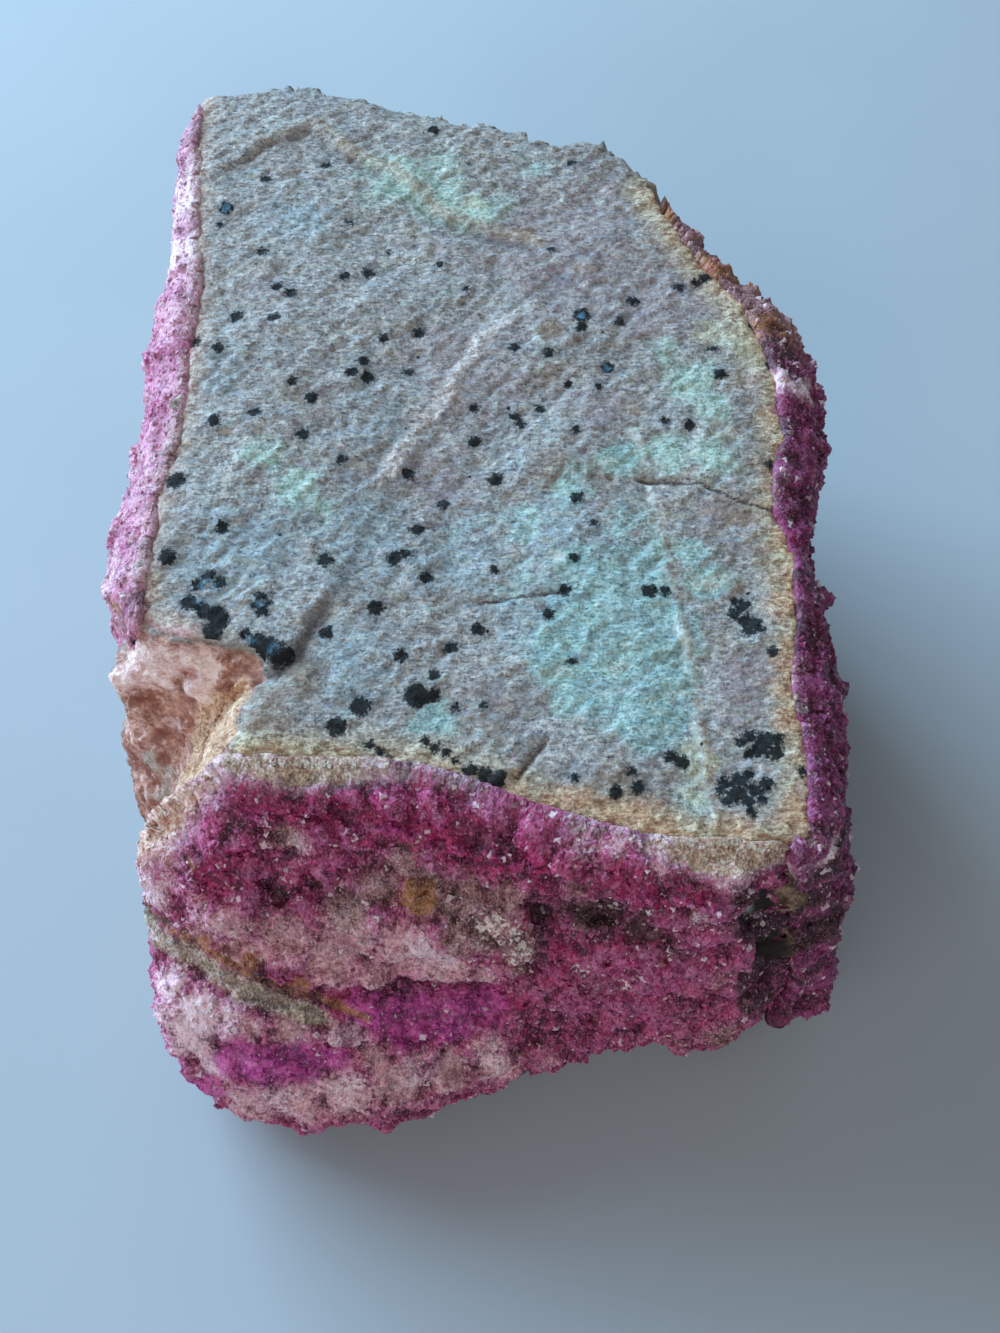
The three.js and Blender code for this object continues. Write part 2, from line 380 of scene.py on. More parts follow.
# lines on the top face, [x, y] in mm from partOrigin
crease = [(-20.5, 0), (-19, 1), (-17.5, 4.5), (-16, 7), (-14, 11.5), (-12, 16), (-10, 20.5), (-7, 25.5)]
scarp = [
    (-28.2, 65), (-26.3, 67.1), (-23.9, 67.9), (-21.6, 69.3), (-20, 67.9), (-17.6, 65), (-14.4, 63),
    (-11.9, 61.3), (-6.6, 55.8), (-1, 52.9), (3.2, 51.7), (6.4, 47.7), (9.8, 44.2), (14, 40.4),
    (17, 36.9), (20.5, 34),
]
ridge = [
    (-16, 7), (-14.5, 12.5), (-12.5, 18), (-10, 24), (-6, 30.5), (-2, 38), (1, 41), (4, 42.5),
    (10.5, 42.5), (15.5, 35.5),
]
vein = [(15.5, 18), (16, 11.5), (17.5, 1.5), (18, -5.5), (18.5, -13), (19, -17)]
whiteVein = [(13.5, 27), (14.5, 20), (15.4, 11.5), (16.9, 1.5), (17.4, -5.5), (17.8, -12), (18.4, -15)]
cracks = [
    [(13.5, 20.5), (19.5, 20), (23.5, 18), (27, 17)],
    [(4, -7.5), (2.5, -9.5), (1.5, -11)],
    [(-26, -7), (-22, -10)],
    [(-12, -7.5), (-9.5, -9)],
    [(-2, 7), (6, 8)],
]
frontRim = [
    (-24, -9), (-17.5, -9.5), (-8.5, -10), (0, -12.5), (7, -15.5), (13.5, -17), (20.5, -17.5), (27, -17),
]
rightRim = [
    (27, -17), (27.3, -9.5), (28, 0.5), (28, 9), (27.5, 18), (28.8, 26), (28.8, 34), (26.4, 42),
    (21.5, 49.4), (17, 60),
]
leftRim = [
    (-28.5, 3), (-33.5, 5), (-34, 10), (-33.5, 18.5), (-32.6, 27), (-32, 38), (-33, 50), (-34.4, 62),
    (-35, 74),
]
# stains on the top face, [x, y, reach, strength]
topStains = {
    "copper": [
        (11.3, 3.2, 7, 1.2), (13.4, -5, 4.6, 1.1), (5.6, 1.2, 3.8, 1.1), (8, -3, 4, 1),
        (13, 11, 4.5, 0.8), (8.4, 11, 4.5, 0.7), (8, 7, 4, 1), (12, 7, 5, 1.1), (14, 0, 4.5, 1.1),
        (6, 5, 3, 0.8), (11.6, 16, 4, 0.6), (19.4, 9, 2.6, 0.8), (18.2, 12, 2.4, 0.7), (16.6, 3, 3, 0.9),
        (-6.3, -5.4, 3, 0.7), (16.7, -8.6, 2.4, 0.9), (12, 23.6, 3, 0.8), (2, 10, 5, 0.4),
        (4, 64, 4, 0.5), (16.8, -13, 2, 0.7), (1, 16, 5, 0.5), (3, 2, 4, 0.5), (7, 20, 4, 0.55),
        (-3, 14, 4, 0.35), (4, 27, 4, 0.35), (12, 34, 4, 0.3), (-22.5, 21.5, 2.4, 0.5),
    ],
    "mint": [
        (-10.8, 60.5, 4.5, 1), (-6.5, 58.5, 4.2, 1), (-3, 56.5, 3.5, 0.9), (-14.5, 62.5, 3.6, 0.7),
        (-7, 63, 4, 0.8), (-15, 57, 3, 0.6), (19.6, 33, 3.6, 1), (21.5, 29.5, 3, 0.9),
        (17.4, 36.4, 3, 0.7), (16.6, 23.6, 3.2, 0.9), (21.4, 22.8, 3.4, 0.9), (-19.4, 19.2, 3, 0.9),
        (-23.4, 23, 3, 0.8), (-17, 17, 2, 0.6), (0.5, 58, 3, 0.5),
    ],
    "pale": [
        (18.7, -16.6, 1.8, 0.8), (-17.5, -8.6, 2, 0.8), (17.4, -9.3, 3, 1), (17, -12.6, 2, 0.8),
        (26, 37.4, 3.4, 1), (22, 39.4, 3, 0.8), (29, 33, 2, 0.6), (-3, 57, 2.4, 0.6), (-22, -8, 2.4, 0.6),
        (-12, -9, 2.4, 0.6),
    ],
    "tan": [
        (-2, -5.5, 3, 0.5), (-4.5, 7, 3, 0.5), (6.6, 7.4, 1.6, 0.7), (3.4, 6.4, 1.6, 0.6),
        (5.6, 21.6, 2.6, 0.9), (9.6, 20.8, 2.4, 0.8), (20.5, 3, 2.4, 0.6), (22, 8.6, 1.2, 0.8),
        (23.5, 17, 3, 0.7), (20, 43, 5, 0.3), (6.5, 58, 4, 0.4), (-25.5, 33, 3, 0.4), (-11, 7, 2, 0.5),
        (-9, 24, 3, 0.5), (-5, 32, 3, 0.6), (24.6, 33, 1.6, 1), (26, 12, 3, 0.8), (5, 39, 1.8, 1),
        (8, 38, 1.6, 0.7), (5, 33.6, 2, 0.7), (14, 22.3, 2, 0.8), (10, -13, 5, 0.8),
        (2.8, 53.4, 0.9, 1.8), (23, 26, 2, 0.5), (13.4, 29, 2.4, 0.6), (-27, 18, 3, 0.3),
        (-23, 63, 2.6, 0.6), (-17, 64.5, 2, 0.6), (-20, -6, 3, 0.5), (24, 44, 3, 0.4),
        (-22.6, -2.4, 1.6, 1.2), (-20.4, -3.4, 1.8, 1), (-18, -1.6, 3, 0.9), (-20, 30, 5, 0.5),
        (15, 50.7, 5, 0.5), (-21.4, -5.4, 1.8, 1), (-23.4, -8.6, 1.4, 1),
    ],
    "ochre": [
        (25.8, -2.6, 2, 1), (25, -6, 1.6, 0.8), (5, -14, 3, 1.1), (10, -15, 3, 1.1), (1, -12.6, 2.4, 0.9),
        (13, -16, 3, 1), (-5, -11, 2, 0.8), (28, 9, 2, 0.9), (28, 16, 2, 0.9), (28.4, 24, 2, 0.9),
        (26.6, 7, 2.4, 0.9), (26.6, 1, 2.4, 1.1), (26.2, -5, 2.4, 1.1), (25.6, -14, 2.4, 0.9),
        (20, -16, 2.4, 0.8), (14, -15.4, 2.4, 0.9), (7, -13.4, 2.4, 0.8), (27, 14, 2, 0.6),
        (27, 21, 2.4, 0.7), (27, 28, 2.4, 0.7), (-20, -8.6, 2.2, 0.7), (-14, -8.8, 2, 0.6),
        (-6, -10.4, 2, 0.5), (1, -12, 2, 0.6), (24, 47, 3, 0.6), (19, 53, 3, 0.5), (-32.4, 8, 1.8, 0.6),
        (-31, 24, 1.6, 0.5),
    ],
    "mauve": [
        (8, 50, 12, 1), (18, 44, 9, 1), (-4, 34, 8, 0.8), (-6, 20, 7, 0.7), (22, -2, 4, 0.9),
        (22, 16, 4, 0.6), (-24, 44, 7, 0.5), (10, 28, 5, 0.7), (-1, -3, 5, 0.5),
    ],
    "azure": [
        (-24, 12, 8, 0.8), (-13, 14, 7, 0.8), (-4, 12, 6, 0.8), (3, 6, 5, 0.9), (6, 15, 6, 0.8),
        (-22, 55, 5, 0.7), (-12, 28, 6, 0.5), (-28, 34, 5, 0.5), (0, 22, 5, 0.5), (-14, 0, 6, 0.7),
    ],
}
# marks on the walls of the notch, [across, up, reach, strength] as seen by the camera
notchMarks = {
    "cream": [
        (-26.6, 23.4, 1.5, 1.3), (-27.4, 21.4, 1.7, 1.3), (-28.2, 19.4, 1.6, 1.2),
        (-25.4, 22.8, 1.7, 1.3), (-26.2, 21, 2.0, 1.3), (-27, 19, 2.1, 1.3), (-27.9, 16.8, 2.1, 1.3),
        (-28.9, 14.6, 2.0, 1.3), (-30.1, 12.4, 1.9, 1.3), (-31.3, 10.6, 1.6, 1.2), (-24, 22.6, 1.7, 1.3),
        (-24.8, 20.2, 1.8, 1.3), (-25.7, 18, 1.8, 1.2), (-26.8, 15.6, 1.6, 1.1), (-23.4, 24.2, 1.2, 1),
        (-27.5, 26.8, 1.3, 0.7), (-29, 27.4, 1.2, 0.5), (-36.5, 26, 1.5, 0.6), (-25.6, 26.2, 1.2, 0.6),
    ],
    "chunk": [
        (-34.4, 26.6, 2, 1), (-32, 27.2, 1.6, 1), (-36, 25.4, 1.5, 0.9), (-29, 27, 1.4, 1),
        (-27.4, 26, 1.6, 1), (-28.6, 24.6, 1.4, 1.1), (-30.4, 26.8, 1.6, 0.9), (-33, 27, 1.8, 0.7),
        (-31.4, 25, 1.2, 0.6),
    ],
    "iron": [
        (-35, 23.2, 1, 1), (-33.6, 19.3, 1.1, 0.9), (-31.6, 20, 1, 0.7), (-33.2, 17, 1.2, 0.9),
        (-30, 23, 0.9, 0.6), (-24.2, 24.4, 1.1, 0.9), (-25, 20.4, 0.8, 0.7), (-32.6, 26.4, 0.9, 0.6),
    ],
    "grey": [
        (-34.6, 16.6, 2, 0.9), (-32.8, 15.6, 1.7, 0.8), (-34, 13.2, 1.9, 0.9), (-33.2, 10.8, 1.6, 0.7),
    ],
}
# rounded swellings and upright ribs of the walls, as seen by the camera
rockBulges = [(-37, 23, 3, 1.3), (-37.4, 18.5, 3, 1.3), (-37.4, 13, 2.6, 1.0)]
pillar = [(-24.8, 24), (-26.4, 20.6), (-28.2, 16.6), (-30.6, 12)]
column = [(26, 6.9), (27.5, 3.5), (28.7, 0.6), (30, -2.5), (30.3, -5)]
# black specks and clusters on the top face, [x, y] by radius
specks = {
    0.2: [(-12, 50.5), (-4, -9.3)],
    0.3: [
        (-22.7, 6.1), (-21.6, 6.2), (-30.5, 54), (-6.5, 48.5), (5.5, 50.5), (7, 32.5), (10, 32), (22, 37),
        (16.5, 27.5), (7.5, 26.5), (26.5, 22.5), (9, 15.5), (-0.5, 10.5), (-1.5, -4), (-4, -4),
        (-6.6, -7.4), (-4.8, -8.6), (-11.5, -7.8), (-10.6, -8.4), (22, 7.2), (24.2, 3.9), (22, -8.6),
        (19.2, -12.2), (11.5, -10.5), (6.5, -11), (6.5, 0.5), (26.5, -10.5), (-3.5, 45), (-16.5, 54.5),
    ],
    0.4: [
        (-22.3, 6.9), (-23.4, 3.3), (-21.7, 0.8), (-15.5, 22.5), (-16.5, 46.5), (8, 64), (21, 46.3),
        (12.5, 40.5), (-2.5, 29.5), (1.5, 28.5), (2, 27.5), (4, 29.5), (-9, 12), (7, 11.5), (15.5, 8),
        (4.5, 5.5), (-6, -1), (-5.7, -8.1), (0, -10.8), (21.4, -7.4), (24.6, -7.2), (22.6, -13),
        (21.8, -10.6), (19.7, -13.2), (21.6, -14.3), (15, -9), (25, 1.5), (-21, 32), (-12, 38), (1.5, 37),
        (5, 36), (-9.5, 34),
    ],
    0.5: [
        (-27.3, 9.4), (-28.3, 8.6), (-26.2, 8.7), (-25.6, 4.3), (-28, 6.1), (-22, 5.4), (-20.1, 0.5),
        (-26.5, 14.5), (-24.5, 28), (-29, 36.5), (-23.5, 40.5), (-23.5, 45), (-22, 44), (-14, 47),
        (-25.5, 50), (-26, 61), (-19.5, 63.5), (-7.5, 69), (19, 45.5), (14, 43.5), (26.5, 40), (28, 35),
        (8.5, 39.5), (22.5, 33.5), (19, 27), (7.5, 18.5), (11, 34.5), (-2.5, 25.5), (-9, 21.5),
        (-5.5, 18), (-8, 15), (-7, 9.5), (6, 8), (-2, 4), (-16, 3.5), (-9, 1), (-4.5, 2), (-6, -3),
        (-2.6, -10.2), (-1.4, -11.6), (21.9, 5.8), (22.9, 3.9), (23.7, 4.5), (22.2, -7), (19.6, -11.4),
        (21.4, -13.2), (23.2, -11.6), (10, -12.5), (12, -12), (16, -9.5), (-14, 35), (-15, 33.5),
        (-19, 30), (-19.5, 25.5), (-28.5, 27), (-8.5, 39),
    ],
    0.6: [
        (-19.4, 1), (-16.5, 11), (-27.5, 41), (-31.5, 37.5), (-32.5, 44), (-30, 56.5), (22, 47),
        (-0.5, 21), (-10, 11.5), (14, 8), (-11.5, 6), (-1.3, -10.7), (22.7, 6.6), (22.8, 5), (22.9, -8.3),
        (24.3, -8.5), (20.9, -11.1), (22.1, -12.1), (-13.5, 33),
    ],
    0.7: [
        (-28.9, 6.6), (-27.4, 5.6), (-22.2, 2.4), (-20.3, 1.4), (-31.5, 11.5), (-0.4, -11.4),
        (23.4, -7.3),
    ],
    0.8: [(-26.4, 3.7), (-21.2, 1.9), (-31.5, 20), (8.5, 41), (-12.5, -4), (-14.5, -6), (20.6, -12.5)],
    0.9: [(-26.2, 5.1)],
    1: [(-7.5, -3)],
}
blueHearts = [
    (-27.3, 8.2, 1, 1.2), (-27.8, 7.2, 1, 1), (-22.2, 6.2, 0.6, 1), (-23, 2.6, 1, 0.7), (8.5, 41, 0.7, 1),
    (-30, 56.5, 0.8, 1), (-22.3, 6.3, 0.8, 0.7), (-20.5, 1.6, 1, 0.6), (11, 34.5, 0.8, 0.8),
]


def topDepth(place):
    # how far a place lies below the leaning plane of the top face, in mm
    return rock["rimHeight"] + place[:, 1] * math.tan(math.radians(rock["topLean"])) - place[:, 2]


def topLines(flat):
    # mm to each line on the top face; past is counted to the right of its line
    creaseGap, creaseSide = lineGap(flat, crease)
    scarpGap, scarpSide = lineGap(flat, scarp)
    return {
        "crease": creaseGap,
        "pastCrease": creaseGap * creaseSide,
        "scarp": scarpGap,
        "pastScarp": scarpGap * scarpSide,
        "ridge": lineGap(flat, ridge)[0],
        "vein": lineGap(flat, vein)[0],
        "whiteVein": lineGap(flat, whiteVein)[0],
        "crack": np.minimum.reduce([lineGap(flat, line)[0] for line in cracks]),
    }


def ridgeShare(place):
    # the ridge fades out towards the front and to the right
    return ramp(place[:, 1], 12, 24) * (1 - 0.7 * ramp(place[:, 0], 1, 6))


def topTexture(place, onTop):
    # height in mm of the streaks along the fabric and of the sugary grain
    along, across = place[:, 0] + place[:, 1], place[:, 1] - place[:, 0]
    turned = np.stack([along, across * 2.6, place[:, 2] * 2.2], 1) * 0.7  # drawn out along the fabric
    streak = smoothNoise(turned, 2.6, 9.0, 2) + 0.4 * smoothNoise(turned, 0.9, 31.0, 2)
    near = cellNoise(place, 1.0, 5.0)
    grain = 1.0 - 1.8 * near + 0.8 * smoothNoise(place, 0.5, 1.7)
    return rock["fabric"] * streak * onTop + rock["grain"] * grain


def topRelief(place, gaps):
    # height in mm of the crease, scarp, ridge, vein and cracks
    past = gaps["pastCrease"]
    step = ramp(past, 0.7, -0.7) * bell(gaps["crease"], 4.5) - 0.35 * bell(past - 0.9, 0.8)
    relief = (0.05 + rock["creaseHeight"] * ramp(place[:, 1], 12, 0)) * step
    past = gaps["pastScarp"]
    step = rock["scarpHeight"] * ramp(past, 0.6, -0.8) * bell(gaps["scarp"], 6)
    step -= 0.35 * bell(past - 0.5, 0.6)
    relief += (0.35 + 0.65 * ramp(place[:, 0], 8, -2)) * step
    uneven = 1 + smoothNoise(place, 2.2, 17.0, 2)
    relief += rock["ridgeHeight"] * ridgeShare(place) * bell(gaps["ridge"], 0.9) * uneven
    relief += rock["veinHeight"] * bell(gaps["vein"], 0.5)
    relief -= rock["crackDepth"] * bell(gaps["crack"], 0.35)
    return relief


def wallRelief(place):
    # height in mm of the broken facets, ribs and swellings
    coarse, medium = rock["facetSizes"]
    flatter = place * (1, 1, 1.3)
    facets = coarse[0] * fractured(flatter, *coarse[1:]) + medium[0] * fractured(place, *medium[1:])
    inNotch = bell(np.hypot(place[:, 0] + 29, place[:, 1] + 3), 14)
    relief = (1 - 0.75 * inNotch) * facets
    relief += 0.35 * smoothNoise(place, 3.2, 14.0, 4)
    relief += 0.25 * smoothNoise(place, 1.1, 23.0, 2)
    seen = sightAxes(place)
    rib = 1.3 * bell(lineGap(seen, pillar)[0], 1.9) + 0.8 * blobField(seen, notchMarks["chunk"])
    relief += rib * (place[:, 0] < -18)
    relief += bell(lineGap(seen, column)[0], 1.3) * (place[:, 0] > 20)
    return relief + blobField(seen, rockBulges)


def makeHostRock():
    noise.seed_set(rock["facetSeed"])
    piece = remeshed("host_rock", "host_rock_stone", rock["voxel"], rock["smoothing"])
    refineTop(piece.data)
    place, normal = meshArrays(piece.data)
    onTop = ramp(normal[:, 2], 0.55, 0.85) * ramp(topDepth(place), 6, 3.5)
    gaps = topLines(place[:, :2])
    texture = topTexture(place, onTop)
    lift = rock["swell"] * smoothNoise(place, 5.5, 3.0, 3) + texture
    lift += onTop * topRelief(place, gaps) + (1 - onTop) * wallRelief(place)
    base = ramp(place[:, 2], 0.2, 2.5)
    shaped = place + normal * (lift * base)[:, None]
    shaped[:, 2] = np.where(place[:, 2] < 0.25, 0, np.maximum(shaped[:, 2], 0))
    putPlaces(piece.data, shaped)
    markRock(piece.data, place, onTop, gaps, texture)
    finishPiece(piece, rockFinish(), ["host_rock"])


def markRock(mesh, place, onTop, gaps, texture):
    # puts on the mesh the fields that the rock's finish reads
    x, y, depth = place[:, 0], place[:, 1], topDepth(place)
    flat, seen = place[:, :2], sightAxes(place)
    speckGap = np.full(len(place), 3.0)
    for radius, spots in specks.items():
        for spotX, spotY in spots:
            speckGap = np.minimum(speckGap, np.hypot(x - spotX, y - spotY) - radius)
    # how low the grain lies; the finish darkens these low spots as painted shade
    fields = {"top": onTop, "grainHollowShade": np.clip(0.5 - texture / 0.45, 0, 1)}
    fields["speck"] = np.where(onTop > 0.3, speckGap, 3.0)
    fields["heart"] = blobField(flat, blueHearts) * onTop
    for mark, blobs in topStains.items():
        fields[mark] = blobField(flat, blobs) * onTop
    inNotch = ramp(y, 8, 5) * ramp(place[:, 2], 8, 18)
    for mark, blobs in notchMarks.items():
        fields[mark] = blobField(seen, blobs) * (1 - onTop) * inNotch
    fields["ridge"] = 1.2 * bell(gaps["ridge"], 1.3) * onTop * ridgeShare(place)
    for mark in ("vein", "whiteVein", "crack"):
        fields[mark] = np.where(onTop > 0.3, gaps[mark], 9)
    # painted shade: a dark band just past the crease, where its step faces away from the light, and a dark
    # line at the foot of the scarp
    dark = bell(gaps["pastCrease"] - 0.3, 0.6) * (0.15 + 0.85 * ramp(y, 14, 2))
    scarpFootShade = bell(gaps["pastScarp"] - 0.4, 0.45) * (0.3 + 0.4 * bell(x - 2, 7))
    fields["crease"] = np.maximum(dark, scarpFootShade) * onTop
    along = ramp(x, 12, 2) * (0.55 + 0.45 * ramp(x, -24, -20))
    fields["scarp"] = bell(gaps["pastScarp"] + 0.9, 1.1) * along * onTop
    rim = np.minimum(lineGap(flat, frontRim)[0], lineGap(flat, rightRim)[0])
    fields["rim"] = rim + 3 * ramp(depth, 0.8, 2.5)
    leftGap = lineGap(flat, leftRim)[0]
    fields["leftRim"] = np.where(onTop > 0.2, leftGap, np.minimum(leftGap, 1.5))
    cleft = bell(np.hypot(x - 28, y + 17), 5.5) * ramp(depth, 0.6, 2.5) * ramp(place[:, 2], 6, 14)
    fields["cleft"] = np.clip(cleft * 1.5, 0, 1)
    fields["column"] = bell(lineGap(seen, column)[0], 2.1) * (x > 20)
    fields["notch"] = bell(np.hypot(x + 30, y + 2.4), 12) * ramp(depth, -1, 2)
    for name, values in fields.items():
        putField(mesh, name, values)


def refineTop(mesh):
    # a finer mesh on the top face, in the notch and in the cleft beside the right crust
    bm = bmesh.new()
    bm.from_mesh(mesh)
    bm.normal_update()
    low = rock["rimHeight"] - rock["topDrop"]
    chosen = set()
    for face in bm.faces:
        x, y, z = np.array(face.calc_center_median()) / mm - partOrigin
        inNotch = x < -21 and -11 < y < 7 and z > 16
        inCleft = x > 24 and y < -14 and z > 10
        if inNotch or inCleft or (face.normal.z > 0.5 and z > low):
            chosen.update(face.edges)
    bmesh.ops.subdivide_edges(bm, edges=list(chosen), cuts=rock["topCuts"], use_grid_fill=True)
    bmesh.ops.triangulate(bm, faces=[f for f in bm.faces if len(f.verts) > 4])
    bm.to_mesh(mesh)
    bm.free()


def rockFinish():
    stone = Finish("host_rock_stone")
    fabric = stone.mapping((0, 0, -42), (380, 1150, 900))  # drawn out along the fabric
    top = stone.field("top")
    fine = stone.noise(0.3, 3, roughness=0.7)
    streak = stone.noise(0.42, 3, fabric, 0.7)
    drift = stone.noise(2.2, 3, fabric, 0.6, seed=7.0)
    mottle = stone.noise(2.8, 4, seed=5.0, roughness=0.62)
    grit = streak * 0.6 + fine * 0.4
    rag = (mottle - 0.5) * 1.3 + (drift - 0.5) * 0.7 + (fine - 0.5) * 0.4

    def wash(tone, name, low, high, share, stain):
        # lays a stain on the tone where its field, made ragged, passes from low to high
        return stone.mix((stone.field(name) + rag).step(low, high) * share, tone, stain)

    tone = stone.mix(grit.step(0.38, 0.6), *rock["stoneTones"])
    tone = stone.mix(stone.noise(8, 3, seed=47.0).step(0.5, 0.66) * 0.35, tone, "6f6c70")
    tone = wash(tone, "mauve", 0.15, 0.9, 0.55, "9f8a90")
    azureTone = stone.mix(grit.step(0.4, 0.6), "7f9cab", "a9c4cb")
    tone = wash(tone, "azure", 0.15, 0.85, 0.6, azureTone)
    warm, dusk, cool = stone.channels(stone.noise(1.0, 3, fabric, 0.6, 3.0, "Color"))
    flecks = [
        (warm, 0.4, "83786c"), (1 - warm, 0.4, "a3bbbd"), (dusk, 0.4, "8d7d84"),
        (1 - dusk, 0.4, "bab29c"), (cool, 0.35, "8392a2"),
    ]
    for fleck, share, stain in flecks:
        tone = stone.mix(fleck.step(0.52, 0.68) * share, tone, stain)
    tone = stone.mix((drift * 0.7 + streak * 0.3).step(0.53, 0.68) * 0.4, tone, "5d5d62")
    plain = tone
    tone = wash(tone, "tan", 0.3, 0.8, 0.6, "84694f")
    copperTone = stone.mix(grit.step(0.38, 0.6), *rock["copperTones"])
    copperTone = stone.mix((drift * 0.6 + mottle * 0.4).step(0.5, 0.62) * 0.5, copperTone, "9cc6ae")
    copperTone = stone.mix((1 - drift * 0.6 - mottle * 0.4).step(0.5, 0.6) * 0.45, copperTone, "7c9aa6")
    tone = wash(tone, "copper", 0.28, 0.72, 0.78, copperTone)
    tone = wash(tone, "mint", 0.28, 0.8, 0.75, stone.mix(grit.step(0.38, 0.6), "8db2a4", "c8e0d3"))
    tone = wash(tone, "pale", 0.35, 0.8, 0.8, stone.mix(fine.step(0.4, 0.6), "b8b497", "dfe0c8"))
    tone = wash(tone, "ridge", 0.6, 1.15, 0.8, stone.mix(grit.step(0.4, 0.6), "b5a8a6", "efe7e2"))
    rim = stone.field("rim") + (mottle - 0.5) * 4 + (streak - 0.5) * 2
    rimTone = stone.mix(grit.step(0.4, 0.6), *rock["rimTones"])
    tone = stone.mix((4.4 - rim).step(0, 3.6) * top * 0.85, tone, rimTone)
    tone = stone.mix((1.3 - rim).step(0, 1.3) * top * 0.62, tone, rock["rustTone"])
    tone = wash(tone, "ochre", 0.3, 0.85, 0.65, stone.mix(grit.step(0.42, 0.6), "a8704f", "dfb78f"))
    leftRim = stone.field("leftRim") + (mottle - 0.5) * 3 + (streak - 0.5) * 2
    leftTone = stone.mix(grit.step(0.42, 0.58), "bd9484", "ecdaca")
    tone = stone.mix((3 - leftRim).step(0, 3) * top * 0.75, tone, leftTone)
    blush = (0.9 - leftRim).step(0, 1) * top * (1 - stone.field("notch"))
    tone = stone.mix(blush * 0.6, tone, "d894a0")
    # painted shade in grey-brown along the crease and at the foot of the scarp
    tone = stone.mix(stone.field("crease") * (mottle * 0.5 + streak).step(0.5, 0.85) * 0.8, tone, "4f4a4e")
    tone = wash(tone, "scarp", 0.45, 1.0, 0.5, stone.mix(grit.step(0.4, 0.6), "9c8672", "c9b49c"))
    # cream on the raised parts of the grain's bump pattern, kept off its low spots: partly the stone's
    # cream grains, partly painted highlight
    creamTipsAndHighlight = (streak * 0.5 + fine * 0.6 - stone.field("grainHollowShade") * 0.12).step(0.56, 0.72)
    tone = stone.mix(creamTipsAndHighlight * (0.85 - rim.step(1, 7) * 0.3), tone, rock["tipTone"])
    crisp = stone.noise(0.2, 3, fabric, 0.75, 41.0)
    tone = stone.mix((1 - crisp).step(0.5, 0.62) * 0.4, tone, "6d6c70", "MULTIPLY")
    # dark blue-grey where the grain's bump pattern is low: partly the stone's dark grains, partly painted
    # shade in the pits
    tone = stone.mix((1 - grit).step(0.55, 0.68) * 0.5, tone, "363b42")

    walls = stone.mix(mottle.step(0.4, 0.6) * 0.6, plain, "a08c77")
    walls = stone.mix(stone.noise(9, 3, seed=19.0).step(0.54, 0.66) * 0.4, walls, "8fb0a8")
    walls = stone.mix(stone.noise(5, 4, seed=13.0).step(0.5, 0.66) * 0.65, walls, "96623c")
    walls = stone.mix(stone.noise(2.6, 4, seed=16.0).step(0.56, 0.7) * 0.5, walls, "5f5049")
    walls = stone.mix((1 - crisp).step(0.5, 0.62) * 0.5, walls, "6d6664", "MULTIPLY")
    walls = stone.mix(fine.step(0.56, 0.72) * 0.5, walls, "ddd6cb")
    tone = stone.mix(top.step(0.1, 0.6), walls, tone)

    # the cleft between the front and right crusts: its near-black is painted shade over the brown rock, and
    # the brown glassy column is the rock's own colour
    cleft = (stone.field("cleft") + (mottle - 0.5) * 0.8).step(0.3, 0.6)
    pillarTone = stone.mix((grit * 0.5 + mottle * 0.5).step(0.42, 0.64), "2f201a", "9a7c66")
    onColumn = (stone.field("column") + (mottle - 0.5) * 0.8).step(0.3, 0.75)
    tone = stone.mix(cleft, tone, stone.mix(onColumn, "24140f", pillarTone))
    iron = stone.mix((mottle * 0.4 + grit * 0.6).step(0.4, 0.6), *rock["ironTones"])
    iron = stone.mix(stone.noise(1.6, 3, seed=23.0).step(0.52, 0.62) * 0.7, iron, "8a4733")
    iron = stone.mix(stone.noise(1.9, 3, seed=29.0).step(0.56, 0.66) * 0.6, iron, "d9b3ae")
    rough = stone.noise(0.9, 3, seed=53.0)
    iron = stone.mix(rough.step(0.52, 0.64) * 0.5, iron, "6d4036")
    iron = stone.mix((1 - rough).step(0.54, 0.66) * 0.6, iron, "ecccc2")
    notch = (stone.field("notch") + (mottle - 0.5) * 0.3).step(0.25, 0.55)
    tone = stone.mix(notch, tone, iron)
    greyTone = stone.mix(grit.step(0.4, 0.6), "8c827c", "c4b4a4")
    tone = wash(tone, "grey", 0.4, 0.8, 0.8, greyTone)
    tone = wash(tone, "iron", 0.4, 0.8, 0.85, "7d3d2c")
    creamTone = stone.mix((grit * 0.7 + mottle * 0.3).step(0.4, 0.6), "94603f", "eecbaa")
    tone = wash(tone, "cream", 0.35, 0.75, 0.9, creamTone)
    chunkTone = stone.mix((grit * 0.6 + mottle * 0.4).step(0.4, 0.58), "cf9a94", "fbe6e2")
    tone = wash(tone, "chunk", 0.1, 0.6, 0.95, chunkTone)

    veinGap = stone.field("vein") + (streak - 0.5) * 1.6 + (mottle - 0.5) * 1.2
    tone = stone.mix((0.42 - veinGap).step(0, 0.4) * 0.4, tone, "b08468")
    whiteGap = stone.field("whiteVein") + (fine - 0.5) * 1.6 + (mottle - 0.5) * 3.4
    tone = stone.mix((0.35 - whiteGap).step(0, 0.6) * 0.65, tone, "dfe6df")
    crackGap = stone.field("crack") + (fine - 0.5) * 0.6
    tone = stone.mix((0.3 - crackGap).step(0, 0.25) * 0.8, tone, "4a322c")

    # painted shade: grey in the low spots of the grain's relief
    tone = stone.mix(stone.field("grainHollowShade").step(0.5, 1.0) * 0.3, tone, "57565a")

